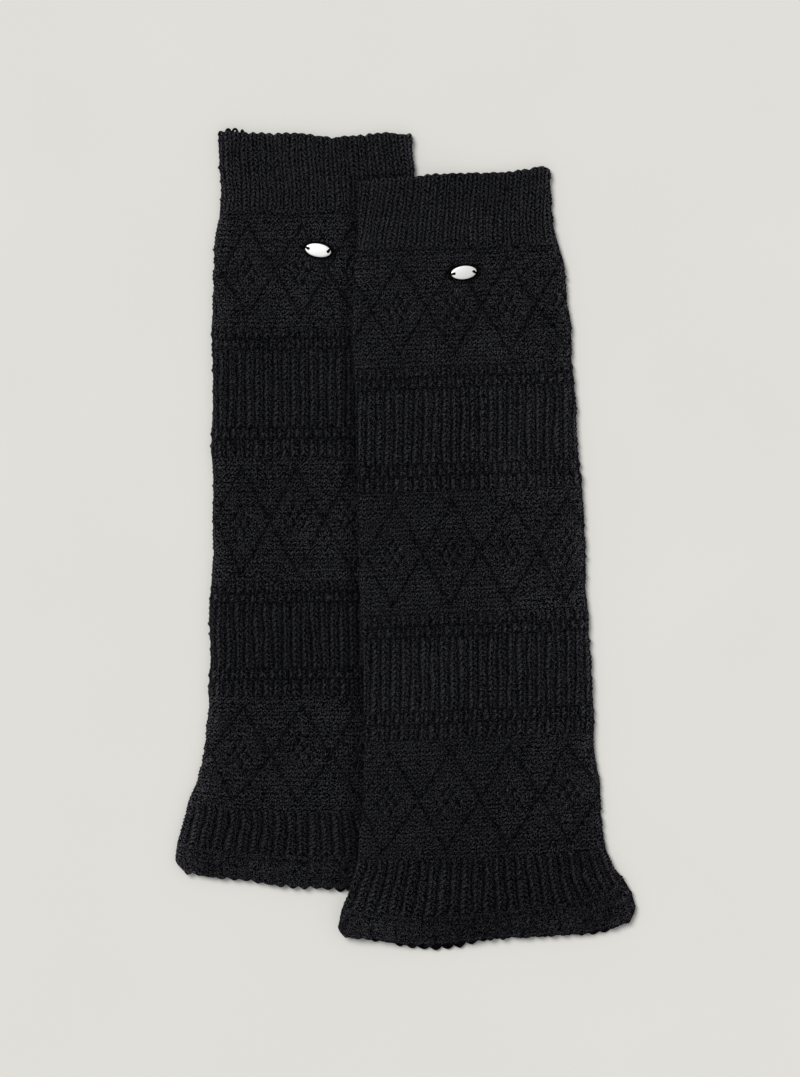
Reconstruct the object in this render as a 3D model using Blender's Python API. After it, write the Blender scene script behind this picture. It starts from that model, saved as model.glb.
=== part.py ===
"""A pair of knitted leg warmers lying flat on a table, one partly over the other.

Each warmer is one knitted tube, open at both ends and pressed flat: a ribbed cuff,
a patterned leg, a flared rib and a turned hem, with an oval metal plate sewn on below
the cuff. The upper warmer crosses the lower one and drapes down off its edge.

Units are metres. +Z is up from the table, +Y points to the cuffs and +X across the legs.
"""

import math
from typing import NamedTuple

import bmesh
import bpy
from mathutils import Matrix, Vector

MM = 0.001

# The knitted cloth, pressed flat: two walls with a thin hollow between them.
KNIT_WALL = 2.0 * MM
HOLLOW = 1.0 * MM
FLAT_HEIGHT = 2 * KNIT_WALL + HOLLOW

# Meshes that touch keep this much between them, at the seams and where cloth lies on cloth.
TOUCH_GAP = 0.3 * MM

# The upper warmer stays level for LEDGE past the lower one's edge, then comes down in DRAPE_RUN.
LEDGE = 2.0 * MM
DRAPE_RUN = 40.0 * MM

# A crease runs out over this share of its length.
CREASE_FADE = 0.4

# The back layer of a hem hangs this much below the front, over part of its width.
HEM_BACK_SHOWS = 2.6 * MM

# Edges that turn more than this stay sharp in smooth shading.
SHARP_ANGLE = math.radians(40.0)

# Segments round each side fold, each plate's outline and each hole.
FOLD_SEGMENTS = 6
PLATE_SEGMENTS = 72
HOLE_SEGMENTS = 24

# The oval plate: punched from sheet metal, domed a little, with a hole near each end.
PLATE_LENGTH = 17.0 * MM
PLATE_WIDTH = 9.4 * MM
PLATE_THICKNESS = 0.7 * MM
PLATE_DOME = 0.35 * MM
PLATE_EDGE = 0.18 * MM
HOLE_ACROSS = 1.7 * MM
HOLE_FROM_MIDDLE = 6.4 * MM
PLATE_RINGS = 5
PUNCH_DEPTH = 5.6 * MM

# The sewing thread of the ties, doubled, and how far they reach from the plate's middle.
TIE_ACROSS = 0.9 * MM
TIE_REACH = PLATE_LENGTH / 2 + TOUCH_GAP + TIE_ACROSS
TIE_STEPS = 7


class Station(NamedTuple):
    """One crossing of a warmer, in millimetres.

    down: distance from the cuff's edge, measured down the middle
    left, right: reach of the cloth to each side of the middle
    bow: how much higher the sides lie than the middle
    skew: how much lower the right side lies than it would unskewed
    """

    down: float
    left: float
    right: float
    bow: float
    skew: float


class Crease(NamedTuple):
    """A soft trough pressed into the front layer, in millimetres.

    top_across, top_down: where it starts, from the middle of the cuff's edge
    end_across, end_down: where it runs out
    depth, spread: how deep it is and how far it reaches to each side
    """

    top_across: float
    top_down: float
    end_across: float
    end_down: float
    depth: float
    spread: float


class Section(NamedTuple):
    """One knitted section: its node's ending and where it ends down the middle, in millimetres."""

    name: str
    end: float
    rings: int


LOWER_STATIONS = (
    Station(down=0.0, left=60.9, right=60.0, bow=4.4, skew=0.6),
    Station(down=24.0, left=60.6, right=61.5, bow=0.6, skew=0.0),
    Station(down=46.2, left=60.8, right=62.6, bow=0.0, skew=0.0),
    Station(down=60.0, left=64.2, right=64.4, bow=0.0, skew=0.0),
    Station(down=86.0, left=65.5, right=66.0, bow=0.0, skew=0.0),
    Station(down=122.0, left=66.4, right=67.2, bow=0.0, skew=0.0),
    Station(down=182.0, left=66.8, right=67.6, bow=0.0, skew=0.0),
    Station(down=236.0, left=66.4, right=67.6, bow=0.0, skew=0.0),
    Station(down=284.0, left=68.4, right=69.6, bow=0.0, skew=0.0),
    Station(down=340.0, left=69.8, right=71.0, bow=0.0, skew=0.0),
    Station(down=375.0, left=72.2, right=73.0, bow=1.0, skew=0.0),
    Station(down=400.0, left=76.9, right=76.5, bow=3.0, skew=0.0),
    Station(down=423.6, left=83.2, right=82.0, bow=5.0, skew=0.3),
    Station(down=436.0, left=87.0, right=86.5, bow=7.0, skew=0.6),
    Station(down=450.5, left=90.8, right=90.0, bow=8.5, skew=1.0),
    Station(down=457.0, left=91.8, right=91.2, bow=9.0, skew=1.4),
    Station(down=465.0, left=92.0, right=92.0, bow=9.0, skew=2.2),
    Station(down=470.6, left=87.0, right=87.0, bow=7.5, skew=3.4),
)
UPPER_STATIONS = (
    Station(down=0.0, left=61.6, right=60.2, bow=0.0, skew=-1.6),
    Station(down=24.0, left=61.8, right=60.2, bow=0.0, skew=-0.8),
    Station(down=44.8, left=63.6, right=61.8, bow=0.0, skew=0.0),
    Station(down=62.0, left=66.2, right=66.2, bow=0.0, skew=0.0),
    Station(down=86.0, left=68.0, right=69.0, bow=0.0, skew=0.0),
    Station(down=122.0, left=68.4, right=69.3, bow=0.0, skew=0.0),
    Station(down=182.0, left=69.2, right=70.4, bow=0.0, skew=0.0),
    Station(down=236.0, left=70.2, right=72.3, bow=0.0, skew=0.0),
    Station(down=290.0, left=70.9, right=72.3, bow=0.0, skew=0.0),
    Station(down=345.0, left=71.5, right=73.3, bow=0.0, skew=0.0),
    Station(down=380.0, left=73.6, right=74.2, bow=0.0, skew=0.0),
    Station(down=405.0, left=76.0, right=75.8, bow=1.0, skew=0.0),
    Station(down=429.0, left=79.3, right=77.3, bow=3.0, skew=0.0),
    Station(down=446.0, left=83.8, right=82.2, bow=7.0, skew=-2.0),
    Station(down=463.0, left=90.1, right=89.0, bow=11.0, skew=-4.0),
    Station(down=470.0, left=92.0, right=92.6, bow=11.0, skew=-3.2),
    Station(down=476.0, left=93.2, right=94.2, bow=9.5, skew=-1.4),
    Station(down=481.0, left=89.8, right=90.6, bow=8.2, skew=0.2),
)

LOWER_CREASES = (
    Crease(top_across=34.0, top_down=-6.0, end_across=44.0, end_down=44.0, depth=0.4, spread=9.0),
    Crease(top_across=-40.0, top_down=52.0, end_across=-30.0, end_down=126.0, depth=0.4, spread=12.0),
)
UPPER_CREASES = (
    Crease(top_across=-50.0, top_down=-4.0, end_across=-61.0, end_down=50.0, depth=0.7, spread=8.0),
    Crease(top_across=-36.0, top_down=-4.0, end_across=-43.0, end_down=36.0, depth=0.5, spread=8.0),
    Crease(top_across=-40.0, top_down=420.0, end_across=-47.0, end_down=478.0, depth=0.5, spread=10.0),
)

LOWER_SECTIONS = (
    Section(name="cuff", end=46.2, rings=6),
    Section(name="leg", end=423.6, rings=20),
    Section(name="flare", end=450.5, rings=5),
    Section(name="hem", end=470.6, rings=6),
)
UPPER_SECTIONS = (
    Section(name="cuff", end=44.8, rings=7),
    Section(name="leg", end=429.0, rings=24),
    Section(name="flare", end=463.0, rings=6),
    Section(name="hem", end=481.0, rings=6),
)


class Warmer(NamedTuple):
    """One warmer: where the middle of its cuff's edge lies, how it is turned, and its parts.

    Lengths are in millimetres and turns in degrees. back_shows_at is where the hem's back
    layer shows most, from -1 at the left side to 1 at the right.
    """

    name: str
    across: float
    along: float
    turn: float
    stations: tuple
    creases: tuple
    sections: tuple
    columns: int
    back_shows_at: float
    plate_across: float
    plate_down: float
    plate_turn: float


LOWER = Warmer(
    name="lower",
    across=-55.5,
    along=251.5,
    turn=0.42,
    stations=LOWER_STATIONS,
    creases=LOWER_CREASES,
    sections=LOWER_SECTIONS,
    columns=10,
    back_shows_at=0.4,
    plate_across=1.0,
    plate_down=70.6,
    plate_turn=-8.5,
)
UPPER = Warmer(
    name="upper",
    across=31.4,
    along=227.9,
    turn=2.4,
    stations=UPPER_STATIONS,
    creases=UPPER_CREASES,
    sections=UPPER_SECTIONS,
    columns=24,
    back_shows_at=-0.35,
    plate_across=3.1,
    plate_down=60.4,
    plate_turn=6.0,
)


def clear_scene():
    for old in list(bpy.data.objects):
        bpy.data.objects.remove(old, do_unlink=True)


def make_material(name, colour, roughness, metallic):
    material = bpy.data.materials.new(name)
    material.use_nodes = True
    shader = material.node_tree.nodes["Principled BSDF"]
    shader.inputs["Base Color"].default_value = (*colour, 1.0)
    shader.inputs["Roughness"].default_value = roughness
    shader.inputs["Metallic"].default_value = metallic
    return material


def add_object(name, shape, parent, material):
    """Links a bmesh as a named object under its warmer's empty."""
    mesh = bpy.data.meshes.new(name)
    shape.to_mesh(mesh)
    shape.free()
    mesh.shade_smooth()
    mesh.set_sharp_from_angle(angle=SHARP_ANGLE)
    mesh.materials.append(material)
    piece = bpy.data.objects.new(name, mesh)
    bpy.context.scene.collection.objects.link(piece)
    piece.parent = parent
    return piece


def smooth_step(share):
    share = min(max(share, 0.0), 1.0)
    return share * share * (3.0 - 2.0 * share)


def slope_at(stations, index, column):
    """Change of a column's value for each millimetre down, near a station."""
    before = stations[max(index - 1, 0)]
    after = stations[min(index + 1, len(stations) - 1)]
    return (after[column] - before[column]) / (after.down - before.down)


def station_at(stations, down):
    """The station at any distance down, on a smooth curve through the table's rows."""
    down = min(max(down, stations[0].down), stations[-1].down)
    index = 0
    while index < len(stations) - 2 and stations[index + 1].down < down:
        index += 1
    above, below = stations[index], stations[index + 1]
    span = below.down - above.down
    share = (down - above.down) / span
    values = [down]
    for column in range(1, len(above)):
        rise = below[column] - above[column]
        start_bend = slope_at(stations, index, column) * span - rise
        end_bend = rise - slope_at(stations, index + 1, column) * span
        bend = share * (1.0 - share) * ((1.0 - share) * start_bend + share * end_bend)
        values.append(above[column] + rise * share + bend)
    return Station(*values)


def to_table(warmer):
    """Places a warmer's own frame, with X across it and -Y down it, on the table."""
    middle = Vector((warmer.across * MM, warmer.along * MM, 0.0))
    return Matrix.Translation(middle) @ Matrix.Rotation(math.radians(warmer.turn), 4, "Z")


def lift_over_lower(place):
    """Height that the lower warmer gives to cloth above a place on the table."""
    own = to_table(LOWER).inverted() @ place
    crossing = station_at(LOWER_STATIONS, -own.y / MM)
    past_side = max(own.x - crossing.right * MM, 0.0)
    past_hem = max(-own.y - LOWER_STATIONS[-1].down * MM - HEM_BACK_SHOWS, 0.0)
    past_edge = math.hypot(past_side, past_hem) - LEDGE
    return (FLAT_HEIGHT + TOUCH_GAP) * (1.0 - smooth_step(past_edge / DRAPE_RUN))


def lift_at(warmer, across, down):
    """Height of a warmer's underside over the table, at a place in its own frame."""
    if warmer is LOWER:
        return 0.0
    return lift_over_lower(to_table(warmer) @ Vector((across, -down, 0.0)))


def sink_at(warmer, across, down):
    """Depth of the creases in the front layer, at a place in the warmer's own frame.

    A crease that starts above the cuff's edge is at its full depth there.
    """
    depth = 0.0
    for crease in warmer.creases:
        start = Vector((crease.top_across, crease.top_down)) * MM
        along = Vector((crease.end_across, crease.end_down)) * MM - start
        offset = Vector((across, down)) - start
        share = offset.dot(along) / along.length_squared
        aside = abs(offset.cross(along)) / along.length
        fade = smooth_step((1.0 - share) / CREASE_FADE)
        if crease.top_down > 0.0:
            fade *= smooth_step(share / CREASE_FADE)
        depth += crease.depth * MM * fade * (1.0 - smooth_step(aside / (crease.spread * MM)))
    return depth


def flat_loop(warmer, down, inset, back_shows):
    """One loop round a flattened tube, in the warmer's own frame.

    It runs along the underside to the right, up round the right fold, back along the
    top and down round the left fold.
    """
    crossing = station_at(warmer.stations, down / MM)
    fold = FLAT_HEIGHT / 2 - inset
    left = -crossing.left * MM + FLAT_HEIGHT / 2
    right = crossing.right * MM - FLAT_HEIGHT / 2
    middle = FLAT_HEIGHT / 2
    section = []
    for column in range(warmer.columns + 1):
        share = column / warmer.columns
        section.append((left + (right - left) * share, middle - fold))
    for step in range(1, FOLD_SEGMENTS):
        angle = math.pi * step / FOLD_SEGMENTS - math.pi / 2
        section.append((right + fold * math.cos(angle), middle + fold * math.sin(angle)))
    for column in range(warmer.columns, -1, -1):
        share = column / warmer.columns
        section.append((left + (right - left) * share, middle + fold))
    for step in range(1, FOLD_SEGMENTS):
        angle = math.pi * step / FOLD_SEGMENTS + math.pi / 2
        section.append((left + fold * math.cos(angle), middle + fold * math.sin(angle)))
    loop = []
    half_width = (crossing.left + crossing.right) / 2 * MM
    for across, height in section:
        aside = across / half_width
        fall = down - crossing.bow * MM * abs(aside) ** 3 + crossing.skew * MM * aside
        if height < middle:
            fall += back_shows * max(0.0, math.cos(math.pi * (aside - warmer.back_shows_at))) ** 2
        else:
            height -= sink_at(warmer, across, fall)
        loop.append(Vector((across, -fall, height + lift_at(warmer, across, fall))))
    return loop


def knit_tube(warmer, section, start, is_hem):
    """A flattened tube with a wall, open at both ends, as a bmesh."""
    shape = bmesh.new()
    end = section.end * MM
    if not is_hem:
        end -= TOUCH_GAP
    outer_rings, inner_rings = [], []
    for ring in range(section.rings):
        share = ring / (section.rings - 1)
        down = start + (end - start) * share
        back_shows = HEM_BACK_SHOWS * share**2 if is_hem else 0.0
        for rings, inset in ((outer_rings, 0.0), (inner_rings, KNIT_WALL)):
            loop = flat_loop(warmer, down, inset, back_shows)
            rings.append([shape.verts.new(place) for place in loop])
    count = len(outer_rings[0])
    for rings, outward in ((outer_rings, True), (inner_rings, False)):
        for above, below in zip(rings, rings[1:]):
            for index in range(count):
                following = (index + 1) % count
                corners = [above[index], below[index], below[following], above[following]]
                shape.faces.new(corners if outward else corners[::-1])
    for outer, inner in ((outer_rings[0], inner_rings[0]), (inner_rings[-1], outer_rings[-1])):
        for index in range(count):
            following = (index + 1) % count
            shape.faces.new([outer[index], outer[following], inner[following], inner[index]])
    bmesh.ops.recalc_face_normals(shape, faces=shape.faces)
    bmesh.ops.triangulate(shape, faces=shape.faces)
    return shape


def plate_profile():
    """Half the plate's section: reach from its middle, as a share of the rim's, and height."""
    chamfer = PLATE_EDGE / (PLATE_WIDTH / 2)
    profile = [(0.0, 0.0), (1.0 - chamfer, 0.0), (1.0, PLATE_EDGE), (1.0, PLATE_THICKNESS - PLATE_EDGE)]
    for ring in range(PLATE_RINGS + 1):
        reach = (1.0 - chamfer) * (1.0 - ring / PLATE_RINGS)
        profile.append((reach, PLATE_THICKNESS + PLATE_DOME * (1.0 - reach**2)))
    return profile


def oval_plate():
    """The stamped and domed plate, centred on its own origin, its underside at z = 0."""
    shape = bmesh.new()
    verts = [shape.verts.new((reach, 0.0, height)) for reach, height in plate_profile()]
    edges = [shape.edges.new(pair) for pair in zip(verts, verts[1:])]
    bmesh.ops.spin(
        shape,
        geom=verts + edges,
        cent=(0.0, 0.0, 0.0),
        axis=(0.0, 0.0, 1.0),
        angle=math.tau,
        steps=PLATE_SEGMENTS,
        use_merge=True,
    )
    bmesh.ops.remove_doubles(shape, verts=shape.verts, dist=0.001 * MM)
    bmesh.ops.scale(shape, vec=(PLATE_LENGTH / 2, PLATE_WIDTH / 2, 1.0), verts=shape.verts)
    bmesh.ops.recalc_face_normals(shape, faces=shape.faces)
    return shape


def hole_cutter(name, across, parent, metal):
    """A hidden round punch that a Boolean takes out of the plate."""
    shape = bmesh.new()
    bmesh.ops.create_cone(
        shape,
        cap_ends=True,
        segments=HOLE_SEGMENTS,
        radius1=HOLE_ACROSS / 2,
        radius2=HOLE_ACROSS / 2,
        depth=PUNCH_DEPTH,
        matrix=Matrix.Translation((across, 0.0, 0.0)),
    )
    cutter = add_object(name, shape, parent, metal)
    cutter.hide_render = True
    cutter.display_type = "WIRE"
    return cutter


def tie_route(side):
    """Points of a stitch from under the plate's hole, over its end and down to the cloth."""
    half = TIE_ACROSS / 2
    hole = HOLE_FROM_MIDDLE
    foot = TIE_REACH - half
    clear_top = PLATE_THICKNESS + PLATE_DOME + TOUCH_GAP + half
    middle = (hole + foot) / 2
    reach = (foot - hole) / 2
    route = [Vector((side * hole, 0.0, 0.0))]
    for step in range(TIE_STEPS + 1):
        angle = math.pi * step / TIE_STEPS
        across = middle - reach * math.cos(angle)
        height = PLATE_THICKNESS + (clear_top - PLATE_THICKNESS) * math.sin(angle) ** 0.5
        route.append(Vector((side * across, 0.0, height)))
    route.append(Vector((side * foot, 0.0, 0.0)))
    return route


def thread_tie(name, side, parent, material):
    """One round stitch, as a curve with a bevel and filled ends."""
    curve = bpy.data.curves.new(name, "CURVE")
    curve.dimensions = "3D"
    curve.bevel_depth = TIE_ACROSS / 2
    curve.bevel_resolution = 2
    curve.use_fill_caps = True
    route = tie_route(side)
    spline = curve.splines.new("POLY")
    spline.points.add(len(route) - 1)
    for point, place in zip(spline.points, route):
        point.co = (*place, 1.0)
    curve.materials.append(material)
    tie = bpy.data.objects.new(name, curve)
    bpy.context.scene.collection.objects.link(tie)
    tie.parent = parent
    return tie


def add_plate(warmer, parent, metal, thread):
    """Sews a plate on the front, under the cuff, with a tie at each end.

    The plate bridges the slope of the cloth between its two ties.
    """
    across, down = warmer.plate_across * MM, warmer.plate_down * MM
    left_end = lift_at(warmer, across - TIE_REACH - TIE_ACROSS, down)
    right_end = lift_at(warmer, across + TIE_REACH + TIE_ACROSS, down)
    seat = bpy.data.objects.new(f"{warmer.name}_plate_seat", None)
    bpy.context.scene.collection.objects.link(seat)
    seat.parent = parent
    seat.location = (across, -down, FLAT_HEIGHT + TOUCH_GAP + (left_end + right_end) / 2)
    seat.rotation_euler.y = math.atan2(left_end - right_end, 2 * (TIE_REACH + TIE_ACROSS))
    seat.rotation_euler.z = math.radians(warmer.plate_turn - warmer.turn)
    plate = add_object(f"{warmer.name}_plate", oval_plate(), seat, metal)
    for side, word in ((-1, "left"), (1, "right")):
        cutter = hole_cutter(f"{warmer.name}_punch_{word}", side * HOLE_FROM_MIDDLE, seat, metal)
        punch = plate.modifiers.new(f"hole {word}", "BOOLEAN")
        punch.operation = "DIFFERENCE"
        punch.object = cutter
        thread_tie(f"{warmer.name}_tie_{word}", side, seat, thread)


def build_warmer(warmer, materials):
    """All the pieces of one warmer, under an empty at the middle of its cuff's edge."""
    holder = bpy.data.objects.new(f"{warmer.name}_warmer", None)
    bpy.context.scene.collection.objects.link(holder)
    holder.matrix_world = to_table(warmer)
    start = 0.0
    for section in warmer.sections:
        is_hem = section is warmer.sections[-1]
        shape = knit_tube(warmer, section, start, is_hem)
        add_object(f"{warmer.name}_{section.name}", shape, holder, materials[section.name])
        start = section.end * MM
    add_plate(warmer, holder, materials["plate"], materials["tie"])


def main():
    clear_scene()
    materials = {
        "cuff": make_material("black rib knit", (0.016, 0.016, 0.018), 0.95, 0.0),
        "leg": make_material("black diamond knit", (0.015, 0.015, 0.017), 0.95, 0.0),
        "flare": make_material("black wide rib knit", (0.016, 0.016, 0.018), 0.95, 0.0),
        "hem": make_material("black bound hem knit", (0.014, 0.014, 0.016), 0.95, 0.0),
        "plate": make_material("nickel plate", (0.80, 0.79, 0.77), 0.28, 1.0),
        "tie": make_material("black sewing thread", (0.012, 0.012, 0.013), 0.8, 0.0),
    }
    for warmer in (LOWER, UPPER):
        build_warmer(warmer, materials)


main()
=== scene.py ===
"""A pair of black knitted leg warmers, laid flat on a pale table, one partly over the other.

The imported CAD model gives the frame. Each knitted band replaces its plain solid with a closed
shell that carries the stitches, and the metal plates and their thread ties are made finer.

Units are metres. +Z is up from the table, +Y points to the cuffs and +X across the legs.
"""

import math
from typing import NamedTuple

import bmesh
import bpy
import numpy as np
from mathutils import Matrix, Vector


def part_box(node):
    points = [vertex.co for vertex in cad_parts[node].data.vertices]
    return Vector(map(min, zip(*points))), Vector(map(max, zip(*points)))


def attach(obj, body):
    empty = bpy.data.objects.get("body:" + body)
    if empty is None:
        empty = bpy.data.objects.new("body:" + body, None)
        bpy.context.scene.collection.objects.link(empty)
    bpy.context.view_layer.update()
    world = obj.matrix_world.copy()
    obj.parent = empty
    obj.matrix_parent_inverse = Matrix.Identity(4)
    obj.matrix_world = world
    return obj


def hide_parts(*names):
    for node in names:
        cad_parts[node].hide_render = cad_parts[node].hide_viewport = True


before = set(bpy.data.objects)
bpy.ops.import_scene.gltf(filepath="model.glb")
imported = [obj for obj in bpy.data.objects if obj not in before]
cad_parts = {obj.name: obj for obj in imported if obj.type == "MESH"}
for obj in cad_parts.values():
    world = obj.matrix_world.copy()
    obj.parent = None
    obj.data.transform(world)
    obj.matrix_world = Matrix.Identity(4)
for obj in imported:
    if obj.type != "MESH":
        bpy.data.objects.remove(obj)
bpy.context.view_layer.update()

# ======== The cuffs ========
# Each warmer is knitted in the round from the cuff down, in one soft black wool and acrylic
# yarn. The cuff is a 1x1 rib: plump cords of knit stitches with a purl wale sunk between them.
# It is cast on loosely, so every rib ends in a small scallop at the open edge.

MM = 0.001

# The cloth, pressed flat: two walls with a thin hollow between them, rounded at the folds.
KNIT_WALL = 2.0 * MM
FLAT_HEIGHT = 5.0 * MM
FOLD = FLAT_HEIGHT / 2

# The upper warmer rests on the crests of the lower one's ridges, this far above its front. It
# stays level for LEDGE past the lower one's edge, then comes down in DRAPE_RUN.
CREST_GAP = 0.62 * MM
LEDGE = 2.0 * MM
DRAPE_RUN = 40.0 * MM

# How far the hem's back layer shows below the front one, the share of its length in which a
# crease fades out, and the height above the fold's middle from which the cloth takes it in full.
HEM_BACK_SHOWS = 3.2 * MM
CREASE_FADE = 0.4
CREASED_ABOVE = 0.5 * MM

# Stitches round each warmer, on one face of it, and on the cloth's turn at each fold.
WALES = 96
FACE_WALES = WALES // 2
FOLD_WALES = 1.75

# Mesh columns a wale on the face and underneath, mesh rows a course on the face and in all on
# the plain inner wall, and how far round an open edge's rim its own rows lie.
FACE_COLUMNS = 4
BACK_COLUMNS = 2
COURSE_ROWS = 4
INNER_ROWS = 8
RIM_ANGLES = (math.pi / 4, math.pi / 2, 3 * math.pi / 4)
MERGE_DISTANCE = 0.001 * MM
GIRTH_STEPS = 9

# The level and tone where two bands are joined, and how many courses a band takes to reach them.
JOIN_LEVEL = -0.28 * MM
# JOIN_TONE darkens the yarn at a join: painted shade.
JOIN_TONE = 0.75
JOIN_COURSES = 0.6

# The same at an open edge, and the scallops there.
EDGE_LEVEL = -0.12 * MM
# EDGE_TONE lightens the yarn along an open edge's rim: a painted highlight.
EDGE_TONE = 1.3
EDGE_COURSES = 1.5
EDGE_FADE = 24.0 * MM
CUFF_SCALLOP = 0.8 * MM
CUFF_UNEVEN = 0.35 * MM
HEM_SCALLOP = 1.5 * MM
HEM_UNEVEN = 0.50 * MM
SCALLOP_COURSES = 1.3
SCALLOP_MIDDLE = 0.6

# The undersides have half the relief, sunk a little, and the walls inside are painted dim: painted shade.
UNDER_RELIEF = 0.5
UNDER_LEVEL = -0.12 * MM
UNDERSIDE_CLEAR = 0.04 * MM
INNER_TONE = 0.4

# How unevenly the yarn is knitted: courses and wales wander, and stitches differ in height.
COURSE_WANDER = 0.30 * MM
WALE_WANDER = 0.16
STITCH_PLUMP = 0.09
WANDER_COURSES = 2.0

# Painted sheen: the tone is raised along the folds, where the nap catches light from the side, so the sides
# look paler.
FOLD_GLOW = 0.9
GLOW_REACH = 2.3
GLOW_SPREAD = 0.9
GLOW_GROWS_FROM = 150.0 * MM
GLOW_GROWS_TO = 400.0 * MM
MOTTLE = 0.045

# Painted shade: beside its left side the upper warmer keeps the light off the lower one, and that shade is
# painted into the lower one's tone.
SHADE = 0.28
SHADE_FROM = 2.5 * MM
SHADE_TO = 9.0 * MM
SHADE_GROWTH = 1.0
SHADE_ABOVE = 1.8
WARMER_LENGTH = 470.0 * MM

# Stitches on the folds stand out one by one.
FOLD_REACH = 1.6
FOLD_PLUMP = 0.38
FOLD_STITCH = 0.34
HEM_FOLD_SHARE = 0.4


class Station(NamedTuple):
    """One crossing of a warmer, in millimetres.

    down: distance from the cuff's edge, measured down the middle
    left, right: reach of the cloth to each side of the middle
    bow: how much higher the sides lie than the middle
    skew: how much lower the right side lies than it would unskewed
    """

    down: float
    left: float
    right: float
    bow: float = 0.0
    skew: float = 0.0


class Crease(NamedTuple):
    """A soft trough pressed into the front layer, in millimetres from the cuff's middle.

    A crease that starts above the cuff's edge is at its full depth there.
    """

    top_across: float
    top_down: float
    end_across: float
    end_down: float
    depth: float
    spread: float


class Lean(NamedTuple):
    """A place where the ribs lean sideways, in wales and millimetres.

    at, reach: the wale where they lean most and how many wales to each side still lean
    shift: how many wales they have moved sideways at the distance `most`
    top, most, end: distances down where the lean starts, is greatest and is gone
    """

    at: float
    reach: float
    shift: float
    top: float
    most: float
    end: float


class EdgePoint(NamedTuple):
    """How much higher an open edge lies at a place across it, in millimetres."""

    across: float
    rise: float


class Bulge(NamedTuple):
    """A place where the outer side stands out, or falls back, from its stations, in millimetres."""

    down: float
    reach: float
    out: float


class Patch(NamedTuple):
    """A patch of painted light, where the cloth is painted paler, or of painted shade if gain is negative.

    across, down: its middle; wide, long: how far it reaches each way, in millimetres
    """

    across: float
    down: float
    wide: float
    long: float
    gain: float


class Warmer(NamedTuple):
    """One warmer: where the middle of its cuff's edge lies (mm), its turn (degrees), its form.

    drift: wales by which the cloth has twisted round the tube for each millimetre down
    straight_at: the distance down where it hasn't twisted
    back_shows_at: where the hem's back layer shows most, from -1 at the left to 1 at the right
    outer_side: -1 where the side away from the other warmer is the left one, 1 where the right
    glow_growth: how much more that side's painted sheen grows far down; inner_glow: the other side's painted
    sheen
    """

    name: str
    across: float
    along: float
    turn: float
    drift: float
    straight_at: float
    back_shows_at: float
    outer_side: int
    glow_growth: float
    inner_glow: float
    stations: tuple
    creases: tuple
    leans: tuple
    edge: tuple
    hem_edge: tuple
    bulges: tuple
    patches: tuple


LOWER = Warmer(
    name="lower",
    across=-55.5,
    along=251.5,
    turn=0.42,
    drift=0.0,
    straight_at=0.0,
    back_shows_at=0.4,
    outer_side=-1,
    glow_growth=0.4,
    inner_glow=0.9,
    # Columns: down, left, right, bow, skew.
    stations=(
        Station(0.0, 60.9, 60.0, 4.4, 0.6),
        Station(24.0, 60.6, 61.5, 0.6),
        Station(46.2, 60.8, 62.6),
        Station(60.0, 64.2, 64.4),
        Station(86.0, 65.5, 66.0),
        Station(122.0, 66.4, 67.2),
        Station(182.0, 66.8, 67.6),
        Station(236.0, 66.4, 67.6),
        Station(284.0, 68.4, 69.6),
        Station(340.0, 69.8, 71.0),
        Station(375.0, 72.2, 73.0, 1.0),
        Station(400.0, 76.9, 76.5, 3.0),
        Station(423.6, 83.2, 82.0, 5.0, 0.3),
        Station(436.0, 87.0, 86.5, 7.0, 0.6),
        Station(450.5, 90.8, 90.0, 8.5, 1.0),
        Station(457.0, 91.8, 91.2, 9.0, 1.4),
        Station(465.0, 92.0, 92.0, 9.0, 2.2),
        Station(470.6, 87.0, 87.0, 7.5, 3.4),
    ),
    # Columns: top across and down, end across and down, depth, spread.
    creases=(Crease(34.0, -6.0, 44.0, 44.0, 0.4, 9.0), Crease(-40.0, 52.0, -30.0, 126.0, 0.4, 12.0)),
    leans=(Lean(at=41.0, reach=11.0, shift=-0.9, top=-4.0, most=30.0, end=60.0),),
    # Columns: across, rise.
    edge=(
        EdgePoint(-61.0, 0.0), EdgePoint(-42.0, 1.5), EdgePoint(-34.0, 2.5), EdgePoint(-27.0, 2.2),
        EdgePoint(-11.6, 3.1), EdgePoint(-4.0, 2.5), EdgePoint(3.4, 1.0), EdgePoint(11.0, 0.1),
        EdgePoint(18.5, 1.1), EdgePoint(41.0, 2.3), EdgePoint(48.6, 0.4), EdgePoint(60.0, -1.4),
    ),
    hem_edge=(
        EdgePoint(-79.0, -0.1), EdgePoint(-49.0, 1.6), EdgePoint(-41.4, 1.4), EdgePoint(-19.0, -0.9),
        EdgePoint(-11.0, 0.0), EdgePoint(3.8, -0.7), EdgePoint(40.0, 0.0),
    ),
    # Columns: down, reach, out.
    bulges=(
        Bulge(10.0, 15.0, 1.4), Bulge(45.0, 8.0, 0.7), Bulge(118.0, 10.0, 0.8), Bulge(194.0, 16.0, 1.1),
        Bulge(235.0, 18.0, 1.1), Bulge(258.0, 6.0, -0.7), Bulge(300.0, 15.0, 1.4), Bulge(345.0, 7.0, 0.7),
        Bulge(370.0, 8.0, 0.6), Bulge(397.0, 9.0, -0.4), Bulge(422.0, 8.0, 1.4),
    ),
    # Columns: across, down, wide, long, gain.
    patches=(
        Patch(43.0, 40.0, 22.0, 26.0, -0.16), Patch(4.0, 72.0, 14.0, 22.0, 0.14),
        Patch(-32.0, 220.0, 20.0, 18.0, -0.10), Patch(2.0, 248.0, 14.0, 20.0, 0.12),
        Patch(-36.0, 396.0, 14.0, 20.0, -0.10), Patch(-86.0, 440.0, 16.0, 18.0, 0.12),
    ),
)
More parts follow.
